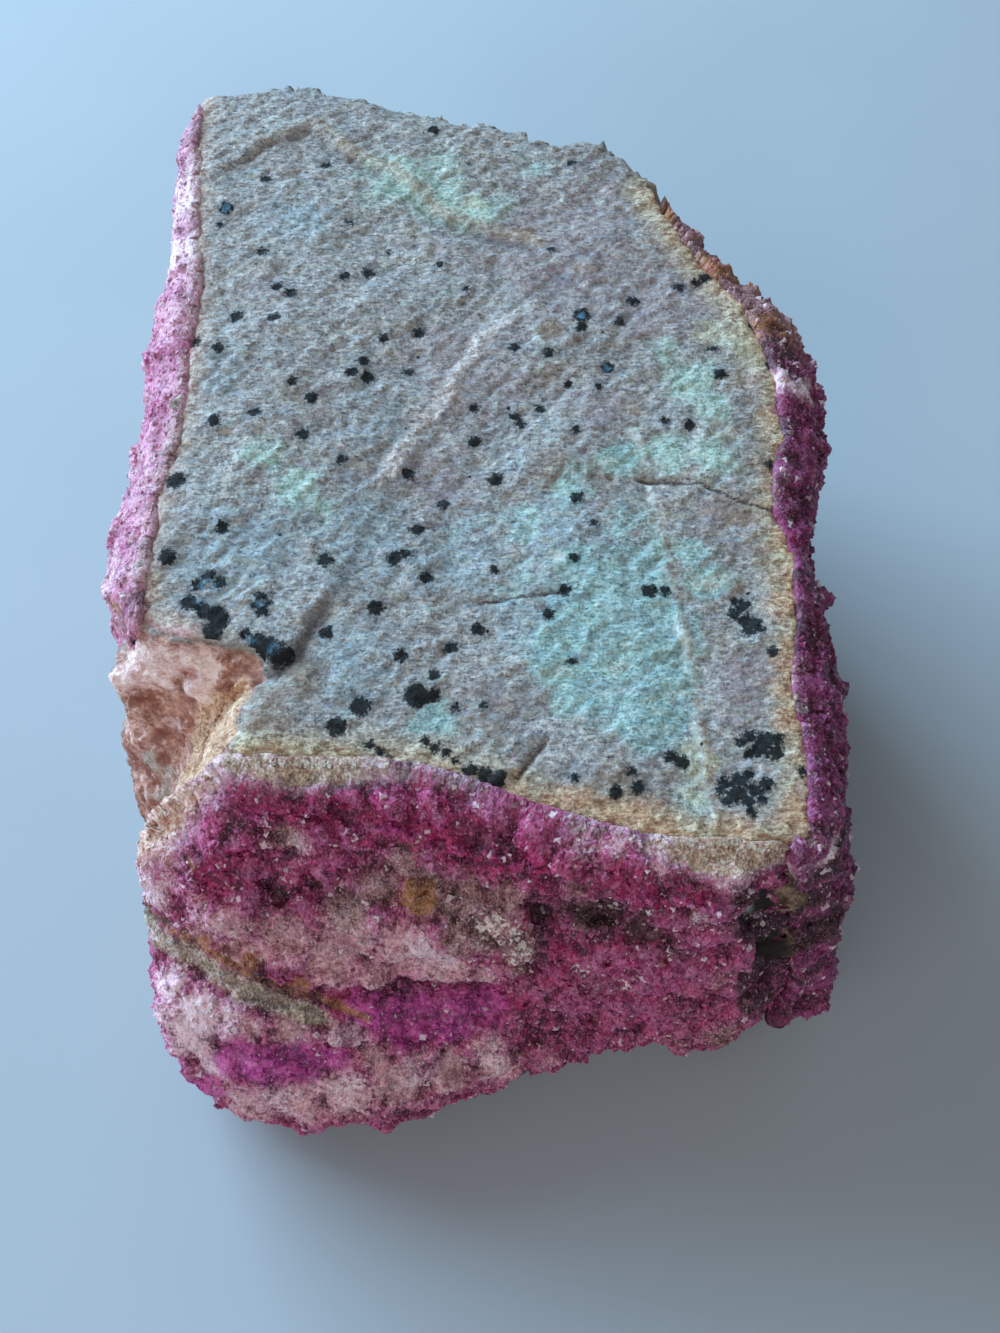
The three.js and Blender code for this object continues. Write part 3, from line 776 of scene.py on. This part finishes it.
    ragged = stone.noise(0.4, 3, roughness=0.75, seed=4.0)
    speckGap = stone.field("speck") + (ragged - 0.5) * 1.8 - 0.2
    speckMask = (0.14 - speckGap).step(0, 0.34)
    dots = stone.cells(5.6) + (ragged - 0.5) * 0.06
    dotMask = (0.045 - dots).step(0, 0.02)
    heart = (stone.field("heart") + (ragged - 0.5) * 1.5).step(0.4, 0.8)
    speckTone = stone.mix(fine.step(0.46, 0.66) * 0.35, *rock["speckTones"])
    speckTone = stone.mix(heart * 0.75, speckTone, "4f7a93")
    halo = (0.9 - speckGap).step(0, 1.1) * 0.22
    tone = stone.mix(halo, tone, "4a5f6b")
    dark = speckMask.greatest(dotMask)
    tone = stone.mix(dark * 0.97, tone, speckTone)

    height = fine * 0.7 + streak
    facets = stone.facets(0.34, 0.6)
    return stone.surface(
        {
            "Base Color": tone,
            "Roughness": fine * 0.25 + 0.58 + dark * 0.2,
            "Specular IOR Level": 0.35,
            "Normal": stone.bump(height, 0.3, facets, 0.8),
        }
    )


crust = {
    "smoothing": 3,
    "bedIn": 1.6,  # mm that the hidden side reaches into the rock
    "batch": 150,  # crystals made in one go
    "magentaTones": ("740f40", "bc1f6a", "d987b6"),
    "violetTones": ("981f78", "dc5cb0"),
    # the right crust's wine tones: partly its own darker colour, partly painted shade on the side turned
    # from the window
    "shadedWineTones": ("4a062c", "8c1456", "bc66a0"),
    "paleTones": ("b84c84", "e496b6", "f8d6de"),
    "dustTones": ("704f48", "c4a29a"),
    "fringeTones": ("d0a6be", "fbf2f5"),
}
# Marks on the front crust are [across, up, reach, strength] in mm, square on to the camera's line of sight;
# on the right and left crusts they are [y, z, reach, strength].
frontMarks = {
    "deep": [
        (-21, 14.3, 3, 1), (-17.6, 13, 3, 1), (-14, 12.6, 3, 1), (-10.5, 12.3, 3, 1), (-7, 11.5, 3, 0.9),
        (-3.5, 11, 3, 1), (0, 9.5, 3, 1), (3.4, 8.5, 2.5, 1), (7, 8.4, 2.5, 0.8), (10.3, 7.5, 3, 0.9),
        (13.6, 6.6, 3, 1), (17, 7, 2.6, 0.7), (-12.5, -6.9, 2.6, 1), (-8.8, -8, 3.2, 1),
        (-4.9, -8.2, 3, 1), (-1.5, -7, 2.6, 1), (2, -7, 2.4, 0.8), (-25.2, -12, 2.6, 1),
        (-22.2, -12.6, 2.6, 1), (-19.4, -12.6, 2.6, 1), (-16.2, -12, 2.4, 1), (-29.4, -16.3, 2.2, 1),
        (-24.8, 8.2, 2.6, 0.9), (-27, 5.6, 2.6, 0.9), (-29.4, 6, 2.2, 0.9), (-28.4, 8.6, 2, 0.8),
        (-31, 4, 2, 0.7), (3, -11, 4, 0.5), (5.5, 0.5, 3, 0.6), (12, 2.6, 3, 0.8),
    ],
    "violet": [
        (-12.5, -7, 2.8, 1), (-8.8, -8.2, 3.4, 1.2), (-4.9, -8.4, 3.2, 1.1), (-1.5, -7.2, 2.6, 1),
        (-25.4, -12, 2.8, 1.1), (-22.2, -12.8, 2.8, 1.2), (-19.4, -12.8, 2.8, 1.1),
        (-16.4, -12.2, 2.2, 0.9), (-29.8, -16.4, 2.4, 1.2), (-10, 12.3, 2, 0.6), (-22, 13.6, 2, 0.5),
    ],
    "dust": [
        (-8.8, 8.8, 2, 0.8), (-6.3, 5.9, 3, 1), (-3.6, 5.2, 3, 1), (-11, 6.5, 2.6, 0.9),
        (-14, 4, 2.6, 0.9), (0.4, 5.2, 2.6, 0.8), (-0.9, 2.4, 2.4, 1), (1.8, 0.9, 2.4, 1),
        (-3.6, 2, 2.4, 1), (2.2, -1.6, 2, 0.8), (6.5, 7, 1.6, 0.7), (8.2, 3.4, 2.2, 0.9),
        (20.3, -2.8, 2.4, 0.5), (22.7, -11.8, 2.4, 0.9), (19.2, -13.5, 2.4, 0.6), (-19.1, 10.9, 1.5, 0.9),
        (-22, 2, 2.4, 0.5),
    ],
    "salmon": [
        (-13.7, 1.5, 3.4, 1), (-9.1, 0.2, 3.4, 1), (-5.7, -2, 3, 1), (-16.1, -1.7, 3.2, 1),
        (-20, 0.6, 3, 0.9), (-23, -0.6, 2.4, 0.8), (-25.2, 1.8, 2.6, 0.8), (-27.4, 2.4, 2.2, 0.7),
        (-29, 0.4, 2, 0.7), (-25.6, -1.2, 2, 0.8), (-12, -3.2, 2.4, 0.9), (-1.5, -3.4, 2, 0.8),
        (-20, -9, 2.4, 0.9), (-24, -8.6, 2, 0.8), (-16, -9.4, 1.6, 0.8), (-25.6, -18.6, 3, 1),
        (-20.3, -17.6, 3.4, 1), (-15.2, -16.6, 3.6, 1), (-10, -15.4, 3.4, 1), (-5.1, -14.8, 3, 0.9),
        (0, -15, 2.6, 0.8), (-12, -12.4, 2, 0.8), (5, -15, 2, 0.6), (-28, -15.6, 2, 0.8),
        (-1.4, -11.6, 2.4, 0.7), (-7, 0.4, 2, 1),
    ],
    "pale": [
        (-29.5, -8.2, 3.1, 1.1), (-30, -10.6, 2.8, 0.9), (-28.3, -13.4, 2.2, 0.8), (-27, -9, 2.4, 0.7),
        (-31.6, -4.4, 2.2, 0.8), (-33, -8, 2, 0.7), (-14.6, -9.6, 2, 0.7), (-26, -7.4, 1.8, 0.8),
        (-18, -14.8, 2, 0.5), (-9, -13, 1.8, 0.4), (-27.6, -17.6, 2, 0.5), (-22, -17, 3, 0.6),
        (-15, -15.6, 3, 0.6), (-8, -14.6, 3, 0.6), (-1, -13.6, 2.6, 0.55), (-7, 0.2, 2, 0.8),
        (-31, 6, 2.4, 0.4), (-33.4, 4.6, 2.4, 0.9), (-17.8, 10.3, 1.5, 0.7), (-0.4, 2.8, 1.2, 0.8),
        (7.3, 10.8, 2, 0.5), (13.6, 9.6, 2, 0.4), (20, 9, 2.4, 0.6), (-4.6, -1.4, 1.6, 0.6),
        (-8, 0.6, 1.6, 0.6), (-14, -10.4, 1.4, 0.6), (17.2, 4.3, 1.2, 0.7), (-30, 8.4, 2.2, 0.4),
        (10, 10.6, 1.2, 0.5), (-28.6, 3.6, 2, 0.3), (-27, 1.4, 1.6, 0.4),
    ],
    # brown marks sit on the pits and along the cleft: partly brown dust and rock, partly painted shade
    "brown": [
        (5.6, 4.2, 2, 0.7), (12.4, 4.4, 1.6, 0.7), (9, 5.6, 1.8, 0.6), (14.4, 1.8, 1.4, 0.5),
        (20.6, 2.6, 1.6, 0.6), (-20.4, 5.4, 1.6, 0.7), (-17, 6, 1.5, 0.7), (-21.9, 3.6, 1.4, 0.7),
        (-16.6, 12.9, 1, 0.5), (4, 3.4, 1.6, 0.9), (9.4, 3.4, 2.4, 1), (12.6, 2.4, 2.4, 0.9),
        (15, 0.8, 1.8, 0.7), (7.4, 3.6, 1.8, 0.8), (20.7, 6.6, 1.6, 1), (22.9, 5, 2, 1),
        (22.7, 2.4, 1.8, 1), (25, 1.5, 2.4, 1), (24.6, -1.6, 2, 1), (26.2, -3.4, 2.4, 1),
        (27, -8, 2.2, 0.9), (21.6, 3.6, 1.4, 0.8), (23.6, -3.6, 2, 0.9), (24.6, -6.6, 2, 0.9),
        (-34, 1.6, 1.4, 0.7), (-12.4, 6.2, 1.2, 0.5), (-24, 6, 1.2, 0.5),
    ],
    "rust": [
        (-7.2, 5.6, 1.9, 1.3), (-10.3, 4.8, 1.2, 0.6), (-19.1, -4, 1.2, 0.9), (-23.8, -2, 1.4, 0.8),
        (-28.5, -0.4, 1.4, 0.7), (-31, 9, 1.6, 0.8), (-28.4, 8, 1.3, 0.7), (8.6, 5, 1, 0.6),
        (-34.4, 1, 1.3, 0.8), (14.6, -0.8, 0.8, 0.6), (-2.5, 7.6, 0.8, 0.5),
    ],
    "slate": [(-33, -0.6, 1.4, 0.8), (-28.8, -2.4, 1.5, 1), (-24.8, -4.8, 1.7, 1), (-21, -6.3, 1.4, 0.9)],
    "white": [
        (-0.9, 2.6, 1.6, 1), (1.6, 1.2, 1.6, 0.9), (7.8, -2.5, 0.8, 1), (12.1, -4, 0.7, 1),
        (24.1, 5, 0.7, 0.9), (24.4, 2.4, 0.6, 0.9),
    ],
}
frontBulges = [(-35, 5.5, 3, 1.3), (-33, -9, 3.5, 1.3), (-31.5, -15.5, 3, 1.3), (-34, -1, 2, 0.5)]
leftMargin = [(-22.5, 17.8), (-24, 16.6), (-28.2, 11.3), (-32.1, 7.9), (-35.5, 4.5)]
rightMarks = {
    "dust": [(44, 50, 6, 0.9), (38, 51, 3, 0.6), (54, 51, 6, 0.9), (-8, 20, 8, 0.35), (14, 12, 8, 0.35)],
    "rust": [(48, 52, 3, 0.8), (40, 51.5, 2.5, 0.7), (56, 52, 3, 0.8), (32.5, 52, 1.5, 0.6)],
    "brown": [
        (-15, 41, 3.6, 1), (-15.5, 34, 4, 1), (-16.5, 27, 3.4, 0.9), (-17, 19, 2.4, 0.7),
        (-2, 36, 3, 0.5), (46, 47, 4, 0.6),
    ],
    "violet": [(12, 23, 8, 0.5), (35, 35, 8, 0.45), (-6, 13, 6, 0.4), (43, 19, 7, 0.45)],
    "salmon": [(24, 14, 5, 0.6), (0, 30, 3, 0.5), (40, 30, 4, 0.6), (16, 38, 3, 0.5)],
    "pale": [
        (33, 51, 2, 0.9), (7, 33, 6, 0.4), (22, 27, 5, 0.4), (-4, 21, 6, 0.35), (31, 11, 6, 0.4),
        (47, 37, 5, 0.4), (-16.4, 44, 1.8, 1),
    ],
    "deep": [
        (28, 48, 5, 1), (16, 46, 5, 1), (4, 44, 6, 1), (-9, 42, 5, 1), (24, 30, 9, 0.8),
        (-10, 14, 5, 0.6), (-9, 28, 5, 0.8),
    ],
}
leftMarks = {
    "deep": [
        (66, 51, 2, 1), (44, 49, 3, 1), (36, 50, 3, 1), (30, 49, 2.4, 1), (38, 48, 3, 1),
        (31, 47.5, 2.6, 1), (26.5, 46, 2, 1), (20, 45, 1.6, 0.8), (50, 42, 5, 0.9), (34, 38, 6, 0.9),
        (18, 36, 5, 0.8), (60, 44, 4, 0.7), (42, 28, 6, 0.8), (26, 26, 4, 0.7),
    ],
    "violet": [(46, 36, 5, 0.7), (24, 32, 5, 0.6), (12, 34, 4, 0.6), (56, 40, 3, 0.5)],
    "salmon": [(54, 46, 4, 0.6), (36, 44, 3, 0.4), (16, 42, 4, 0.6), (30, 30, 4, 0.5), (6, 38, 3, 0.6)],
    "pale": [
        (58, 52, 3.4, 0.9), (51, 51, 2.6, 1.1), (62, 52, 2.6, 0.7), (24, 47, 3, 0.5), (12, 46, 3.4, 0.6),
        (20, 49, 4, 0.4), (5, 44, 4, 0.5),
    ],
    "brown": [(38, 24, 3, 0.5), (20, 27, 2, 0.5)],
    "slate": [(3, 46, 3, 0.7), (7, 45, 2, 0.5)],
    "rust": [(60, 51, 2, 0.5), (8, 46, 2, 0.7), (3, 44, 2, 0.8), (28, 22, 3, 0.6), (48, 24, 3, 0.5)],
}
# lines on the front crust and its pits, as seen by the camera
groove = [(-37, 2.4), (-33, -0.4), (-28.8, -2.4), (-24.8, -4.8), (-21, -6.3), (-16.4, -8), (-13.6, -9.4)]
shelf = [
    (-20.5, -3.6), (-14.4, -4.3), (-9.6, -3.4), (-4.8, -3.9), (-1, -4.4), (1.4, -3), (2, -1), (3.4, 0.6),
    (2.8, 2.6),
]
frontPits = [
    (-20.4, 5.4, 1.4, 0.55), (-17, 6, 1.3, 0.55), (-21.9, 3.6, 1.2, 0.4), (-16.6, 12.9, 1, 0.3),
    (4, 3.4, 1.4, 0.6), (9.4, 3.3, 1.8, 0.8), (13, 1.8, 1.8, 0.6), (22.8, 3.2, 1.6, 1.2),
    (25.6, -1, 1.8, 1.2), (24.4, 4.6, 1.6, 1), (26.4, -5, 1.8, 1), (-8.8, -7.6, 3.4, 0.45),
    (-20.6, -12.2, 3.2, 0.4), (12.6, 2.4, 1.2, 0.5),
]


def sideAxes(place):
    # places as seen square on to a side face: mm along y and mm up
    return place[:, 1:]


def rimGap(place):
    # distance, seen from above, to the edge of the top face
    return np.minimum.reduce([lineGap(place[:, :2], line)[0] for line in (frontRim, rightRim, leftRim)])


def putMarks(mesh, place, form):
    flat = form["axes"](place)
    inFront = form["axes"] is sightAxes
    for mark in frontMarks:
        field = blobField(flat, form["marks"].get(mark, []))
        if inFront and mark == "slate":
            field = np.maximum(field, bell(lineGap(flat, groove)[0], 1.4) * ramp(flat[:, 0], -14, -18))
        if inFront and mark == "rust":  # a thin stain just above the groove
            field = np.maximum(field, 0.75 * bell(lineGap(flat - (0.8, 1.4), groove)[0], 0.7))
        putField(mesh, mark, field)
    lead = 1.9 * bell(place[:, 0] + 19, 9) + 2.3 * bell(place[:, 0] - 19, 6) if inFront else 0
    putField(mesh, "rimGap", rimGap(place) + 2.5 * ramp(topDepth(place), 1, 4) - lead)
    margin, beyond = lineGap(flat, leftMargin)
    putField(mesh, "margin", 2.4 - margin * beyond if inFront else np.full(len(place), 9))


def makeCrust(node, form):
    piece = remeshed(node, node + "_bed", form["voxel"], crust["smoothing"])
    mesh = piece.data
    place, normal = meshArrays(mesh)
    flat = form["axes"](place)
    seed = form["seed"]
    outward = ramp(normal @ np.array(form["side"], float), -0.35, 0.15)
    bent = place + 0.6 * np.stack([smoothNoise(place, 2.0, seed + k) for k in (50, 60, 70)], 1)
    knob = cellNoise(bent, 3.4, seed)
    lump = cellNoise(bent, 1.6, seed + 3)
    grain = cellNoise(place, 0.8, seed + 7)
    lift = form["knob"] * (1.5 * (0.55 - knob) + 1.1 * (0.5 - lump) + 0.55 * (0.5 - grain))
    uneven = 0.6 * smoothNoise(place, 2.6, seed, 3) + 0.3 * smoothNoise(place, 0.7, seed + 5)
    lift += form["knob"] * uneven
    calm = np.maximum(*[blobField(flat, form["marks"][mark]) for mark in ("violet", "pale")])
    lift *= 1 - 0.55 * np.clip(calm, 0, 1)
    sunk = 1.5 * blobField(flat, form["pits"]) - blobField(flat, form["bulges"])
    if form["axes"] is sightAxes:
        sunk += 0.55 * bell(lineGap(flat, groove)[0], 1.4)
        shelfGap, shelfSide = lineGap(flat, shelf)
        sunk += 1.3 * bell(shelfGap - 1.0, 1.3) * (shelfSide > 0)  # the recess under the shelf
        sunk -= 0.8 * bell(shelfGap - 0.5, 1.2) * (shelfSide < 0)  # the shelf's own edge
    rim = rimGap(place)
    shoulder = 0.28 * np.clip(rim - 1.0, 0, 3) ** 2 * ramp(topDepth(place), 3.5, 0.5)
    low = ramp(rim, 0.2, 1.6)
    moved = (lift - sunk) * outward * (0.25 + 0.75 * low) + crust["bedIn"] * (1 - outward)
    shaped = place + normal * moved[:, None]
    shaped[:, 2] -= shoulder * outward
    putPlaces(mesh, shaped)
    putMarks(mesh, place, form)
    putField(mesh, "cavity", np.clip(0.5 - lift / 1.15 + sunk * 0.25, 0, 1))
    putField(mesh, "shade", 0.5 + 0.5 * smoothNoise(place, 0.5, seed + 11))
    finishPiece(piece, form["material"], [node])
    return piece


def crystalMatrix(at, normal, size, steep, dice):
    # a rhomb: a cube stood on its corner and drawn out along its threefold axis
    lean = Vector([dice.gauss(0, 0.3) for _ in range(3)])
    axis = (Vector(normal) + lean).normalized()
    corner = Vector((1, 1, 1)).rotation_difference(Vector((0, 0, 1))).to_matrix().to_4x4()
    spin = Matrix.Rotation(dice.uniform(0, 2 * math.pi), 4, "Z")
    upright = axis.to_track_quat("Z", "Y").to_matrix().to_4x4()
    return Matrix.Translation(at) @ upright @ spin @ Matrix.Diagonal((size, size, size * steep, 1)) @ corner


def makeDruse(bed, name, form):
    # small calcite crystals standing on a crust
    dice = random.Random(form["seed"])
    towards = Vector(form["side"])
    faces = [p for p in bed.data.polygons if p.normal.dot(towards) > -0.15]
    weights = np.cumsum([p.area for p in faces])
    whole = bmesh.new()
    tints = []
    for _ in range(form["crystals"] // crust["batch"]):
        bm = bmesh.new()
        for _ in range(crust["batch"]):
            face = faces[int(np.searchsorted(weights, dice.random() * weights[-1]))]
            size = form["crystal"] * (0.45 + dice.random() ** 2.5) * mm  # many small ones, few large
            at = face.center - face.normal * size * 0.4
            steep = dice.uniform(0.8, 1.3)
            bmesh.ops.create_cube(bm, size=1, matrix=crystalMatrix(at, face.normal, size, steep, dice))
            tints.append(dice.random())
        part = bpy.data.meshes.new("part")
        bm.to_mesh(part)
        bm.free()
        whole.from_mesh(part)
        bpy.data.meshes.remove(part)
    druse = bpy.data.meshes.new(name)
    whole.to_mesh(druse)
    whole.free()
    piece = bpy.data.objects.new(name, druse)
    scene.collection.objects.link(piece)
    place = meshArrays(druse)[0]
    putPlaces(druse, place)  # trims what would stand out of the box
    putMarks(druse, place, form)
    putField(druse, "cavity", np.full(len(place), 0.12))
    putField(druse, "shade", np.repeat(tints, 8))
    finishPiece(piece, form["material"], flat=True)
    return piece


def crustFinish(name, tones, fringe, fringeTones):
    glass = Finish(name)
    shade = glass.field("shade")
    cavity = glass.field("cavity")
    upright = glass.mapping((0, 0, 0), (1000, 1000, 330))  # drawn out up and down, as the grains stand
    fine = glass.noise(0.3, 3, roughness=0.7)
    fibre = glass.noise(0.4, 3, upright, 0.65)
    blotch = glass.noise(2.8, 4, roughness=0.62, seed=31.0)
    broad = glass.noise(7, 3, seed=37.0)
    tint = glass.add("ShaderNodeSeparateColor", sockets={"Color": glass.cells(0.4, "Color")})
    rag = (blotch - 0.5) * 1.3 + (fine - 0.5) * 1.1 + (tint - 0.5) * 0.22
    crisp = glass.noise(0.2, 3, upright, 0.75, 51.0)
    weave = fibre * 0.5 + crisp * 0.5

    def mark(name, low, high, raggedness=1.0):
        # 0 to 1 where a marked field, made ragged, passes from low to high
        return (glass.field(name) + rag * raggedness).step(low, high)

    deep = mark("deep", 0.3, 0.8, 0.7)
    tone = glass.mix((blotch * 0.6 + fibre * 0.4).step(0.38, 0.6), tones[0], tones[1])
    tone = glass.mix(glass.noise(1.6, 3, seed=61.0).step(0.54, 0.66) * 0.4, tone, "5a2a2e")
    # pale fibres, kept out of the cavities and the deep marks: partly the crystals' own pale colour, partly
    # painted highlight on the lumps' tops
    fibreAndHighlight = (fibre * 0.8 + shade * 0.2 - cavity * 0.35 - deep * 0.16).step(0.22, 0.56)
    tone = glass.mix(fibreAndHighlight * 0.5, tone, tones[2])
    salmon = mark("salmon", 0.2, 0.8)
    salmonTone = glass.mix(weave.step(0.34, 0.66), "c6828f", "fbd6d8")
    salmonTone = glass.mix(blotch.step(0.52, 0.64) * 0.5, salmonTone, "a06a66")
    tone = glass.mix(salmon * 0.82, tone, salmonTone)
    pale = mark("pale", 0.2, 0.85)
    tone = glass.mix(pale * 0.94, tone, glass.mix(weave.step(0.32, 0.56), "eca4c0", "fce2ea"))
    violet = mark("violet", 0.3, 0.8, 0.6)
    violetTone = glass.mix((blotch * 0.5 + fibre * 0.5).step(0.4, 0.6), *crust["violetTones"])
    tone = glass.mix(violet * 0.9, tone, violetTone)
    dust = mark("dust", 0.25, 0.75)
    dustTone = glass.mix((fine * 0.5 + crisp * 0.5).step(0.36, 0.64), *crust["dustTones"])
    tone = glass.mix(dust * 0.85, tone, dustTone)
    tone = glass.mix(mark("rust", 0.4, 0.7, 0.7) * 0.8, tone, "b0793f")
    slate = mark("slate", 0.3, 0.85, 0.6)
    tone = glass.mix(slate * 0.8, tone, glass.mix(fine.step(0.36, 0.6), "9c957c", "e2dac4"))
    # dark brown where marked: partly dust and rock by the cleft, partly painted shade in the pits and the
    # cleft
    brown = mark("brown", 0.35, 0.75, 0.7)
    tone = glass.mix(brown * 0.9, tone, glass.mix(fine.step(0.45, 0.7), "2b1915", "5b4036"))
    shadow = 0.75 - pale * 0.7 - slate * 0.5 - salmon * 0.5
    tone = glass.mix(cavity.step(0.42, 0.85) * shadow, tone, "30081c")
    margin = glass.field("margin") + (blotch - 0.5) * 2 + (fibre - 0.5)
    brink = (4 - margin).step(0, 3.2)
    tone = glass.mix(brink * 0.88, tone, glass.mix(fibre.step(0.4, 0.6), "d096ac", "f8dbe2"))
    creamTone = glass.mix(fibre.step(0.4, 0.6), "b9855f", "ecccae")
    tone = glass.mix((2.4 - margin).step(0, 1.6) * 0.8, tone, creamTone)
    gap = glass.field("rimGap") + (blotch - 0.5) * 2.4 + (fibre - 0.5) * 2.2
    edge = (fringe - gap).step(0, 1.5)
    patchy = 0.4 + broad.step(0.4, 0.6) * 0.3 + blotch.step(0.42, 0.6) * 0.3
    tone = glass.mix(edge * patchy, tone, glass.mix(fine.step(0.4, 0.6), *fringeTones))
    stained = (0.2 - gap).step(0, 0.7)
    tone = glass.mix(stained * 0.75, tone, glass.mix(fine.step(0.4, 0.6), "b08a62", "e2d3b2"))
    # rare white specks on the bed are painted glints; the marked white spots are the crystals' own white
    # grains
    sparseGlints = (tint + fine * 0.25).step(1.12, 1.16) * 0.8
    white = (glass.field("white") * 0.6 + tint).step(0.98, 1.1).greatest(sparseGlints)
    tone = glass.mix(white * 0.85, tone, "f6e6e2")
    lumps = glass.noise(1.2, 3, seed=71.0)
    calm = pale.greatest(salmon * 0.8).greatest(violet * 0.7).greatest(brink)
    tone = glass.mix(lumps.step(0.52, 0.68) * 0.5 * (1 - calm * 0.85), tone, "6a2c40", "MULTIPLY")
    tone = glass.mix((1 - lumps).step(0.54, 0.7) * 0.35, tone, "c890b0", "SCREEN")
    tone = glass.mix((1 - crisp).step(0.5, 0.62) * (0.48 - calm * 0.35), tone, "6c3850", "MULTIPLY")
    tone = glass.mix(crisp.step(0.53, 0.66) * 0.4, tone, "d8a8c4", "SCREEN")
    glint = shade.step(0.89, 0.94)
    tone = glass.mix(glint * 0.7, tone, "fbdfe6")
    tone = glass.mix((0.14 - shade).step(0, 0.1) * 0.5, tone, "2e0a1e")
    facets = glass.facets(0.36, 0.7)
    return glass.surface(
        {
            "Base Color": tone,
            "Roughness": fine * 0.3 + 0.3 + dust * 0.25 + brown * 0.15 - white * 0.2 - glint * 0.25,
            "Specular IOR Level": 0.3,
            "Subsurface Weight": 0.3,
            "Subsurface Radius": (1.0, 0.35, 0.6),
            "Subsurface Scale": 0.0008,
            "Coat Weight": 0.05,
            "Coat Roughness": 0.2,
            "Normal": glass.bump(fibre + crisp * 0.5 + tint * 0.4, 0.25, facets, 0.8),
        }
    )


def makeFloor():
    bm = bmesh.new()
    bmesh.ops.create_grid(bm, x_segments=8, y_segments=8, size=studio["floorSize"] / 2)
    mesh = bpy.data.meshes.new("floor")
    bm.to_mesh(mesh)
    bm.free()
    floor = bpy.data.objects.new("floor", mesh)
    scene.collection.objects.link(floor)
    cloth = Finish("floor")
    weave = cloth.noise(60, 2)
    tone = cloth.mix(weave.step(0.3, 0.7), studio["floorTone"], "a6b0b9")
    mesh.materials.append(cloth.surface({"Base Color": tone, "Roughness": 0.85}))


setStudio()
makeFloor()
print("studio and floor set")
makeHostRock()
crusts = {
    "front_crust": {
        "axes": sightAxes,  # how its marks are measured
        "side": (0, -1, 0.25),  # the way it faces
        "slot": "crystal_crust",
        "material": crustFinish("magenta_crystals", crust["magentaTones"], 1.0, crust["fringeTones"]),
        "marks": frontMarks,
        "pits": frontPits,
        "bulges": frontBulges,
        "voxel": 0.34,  # mm
        "knob": 0.8,  # mm, about the height of the knobs
        "crystal": 0.44,  # mm, the edge of a middling crystal
        "crystals": 15000,
        "seed": 2,
    },
    "right_crust": {
        "axes": sideAxes,
        "side": (1, 0, 0.2),
        "slot": "crystal_crust",
        # the right crust's finish: its tones and fringe darkened in part as painted shade
        "material": crustFinish("shaded_wine_crystals", crust["shadedWineTones"], 0.5, ("a07888", "d8c0c8")),
        "marks": rightMarks,
        "pits": [],
        "bulges": [(40, 50, 5, 1)],
        "voxel": 0.42,
        "knob": 0.75,
        "crystal": 0.55,
        "crystals": 14400,
        "seed": 21,
    },
    "left_crust": {
        "axes": sideAxes,
        "side": (-1, 0, 0.2),
        "slot": "pale_crust",
        "material": crustFinish("pale_crystals", crust["paleTones"], 1.3, ("b39a90", "decbc2")),
        "marks": leftMarks,
        "pits": [],
        "bulges": [(41, 49, 8, 1.2)],
        "voxel": 0.42,
        "knob": 0.5,
        "crystal": 0.4,
        "crystals": 6000,
        "seed": 41,
    },
}
for node, form in crusts.items():
    makeDruse(makeCrust(node, form), node.replace("crust", "druse"), form)
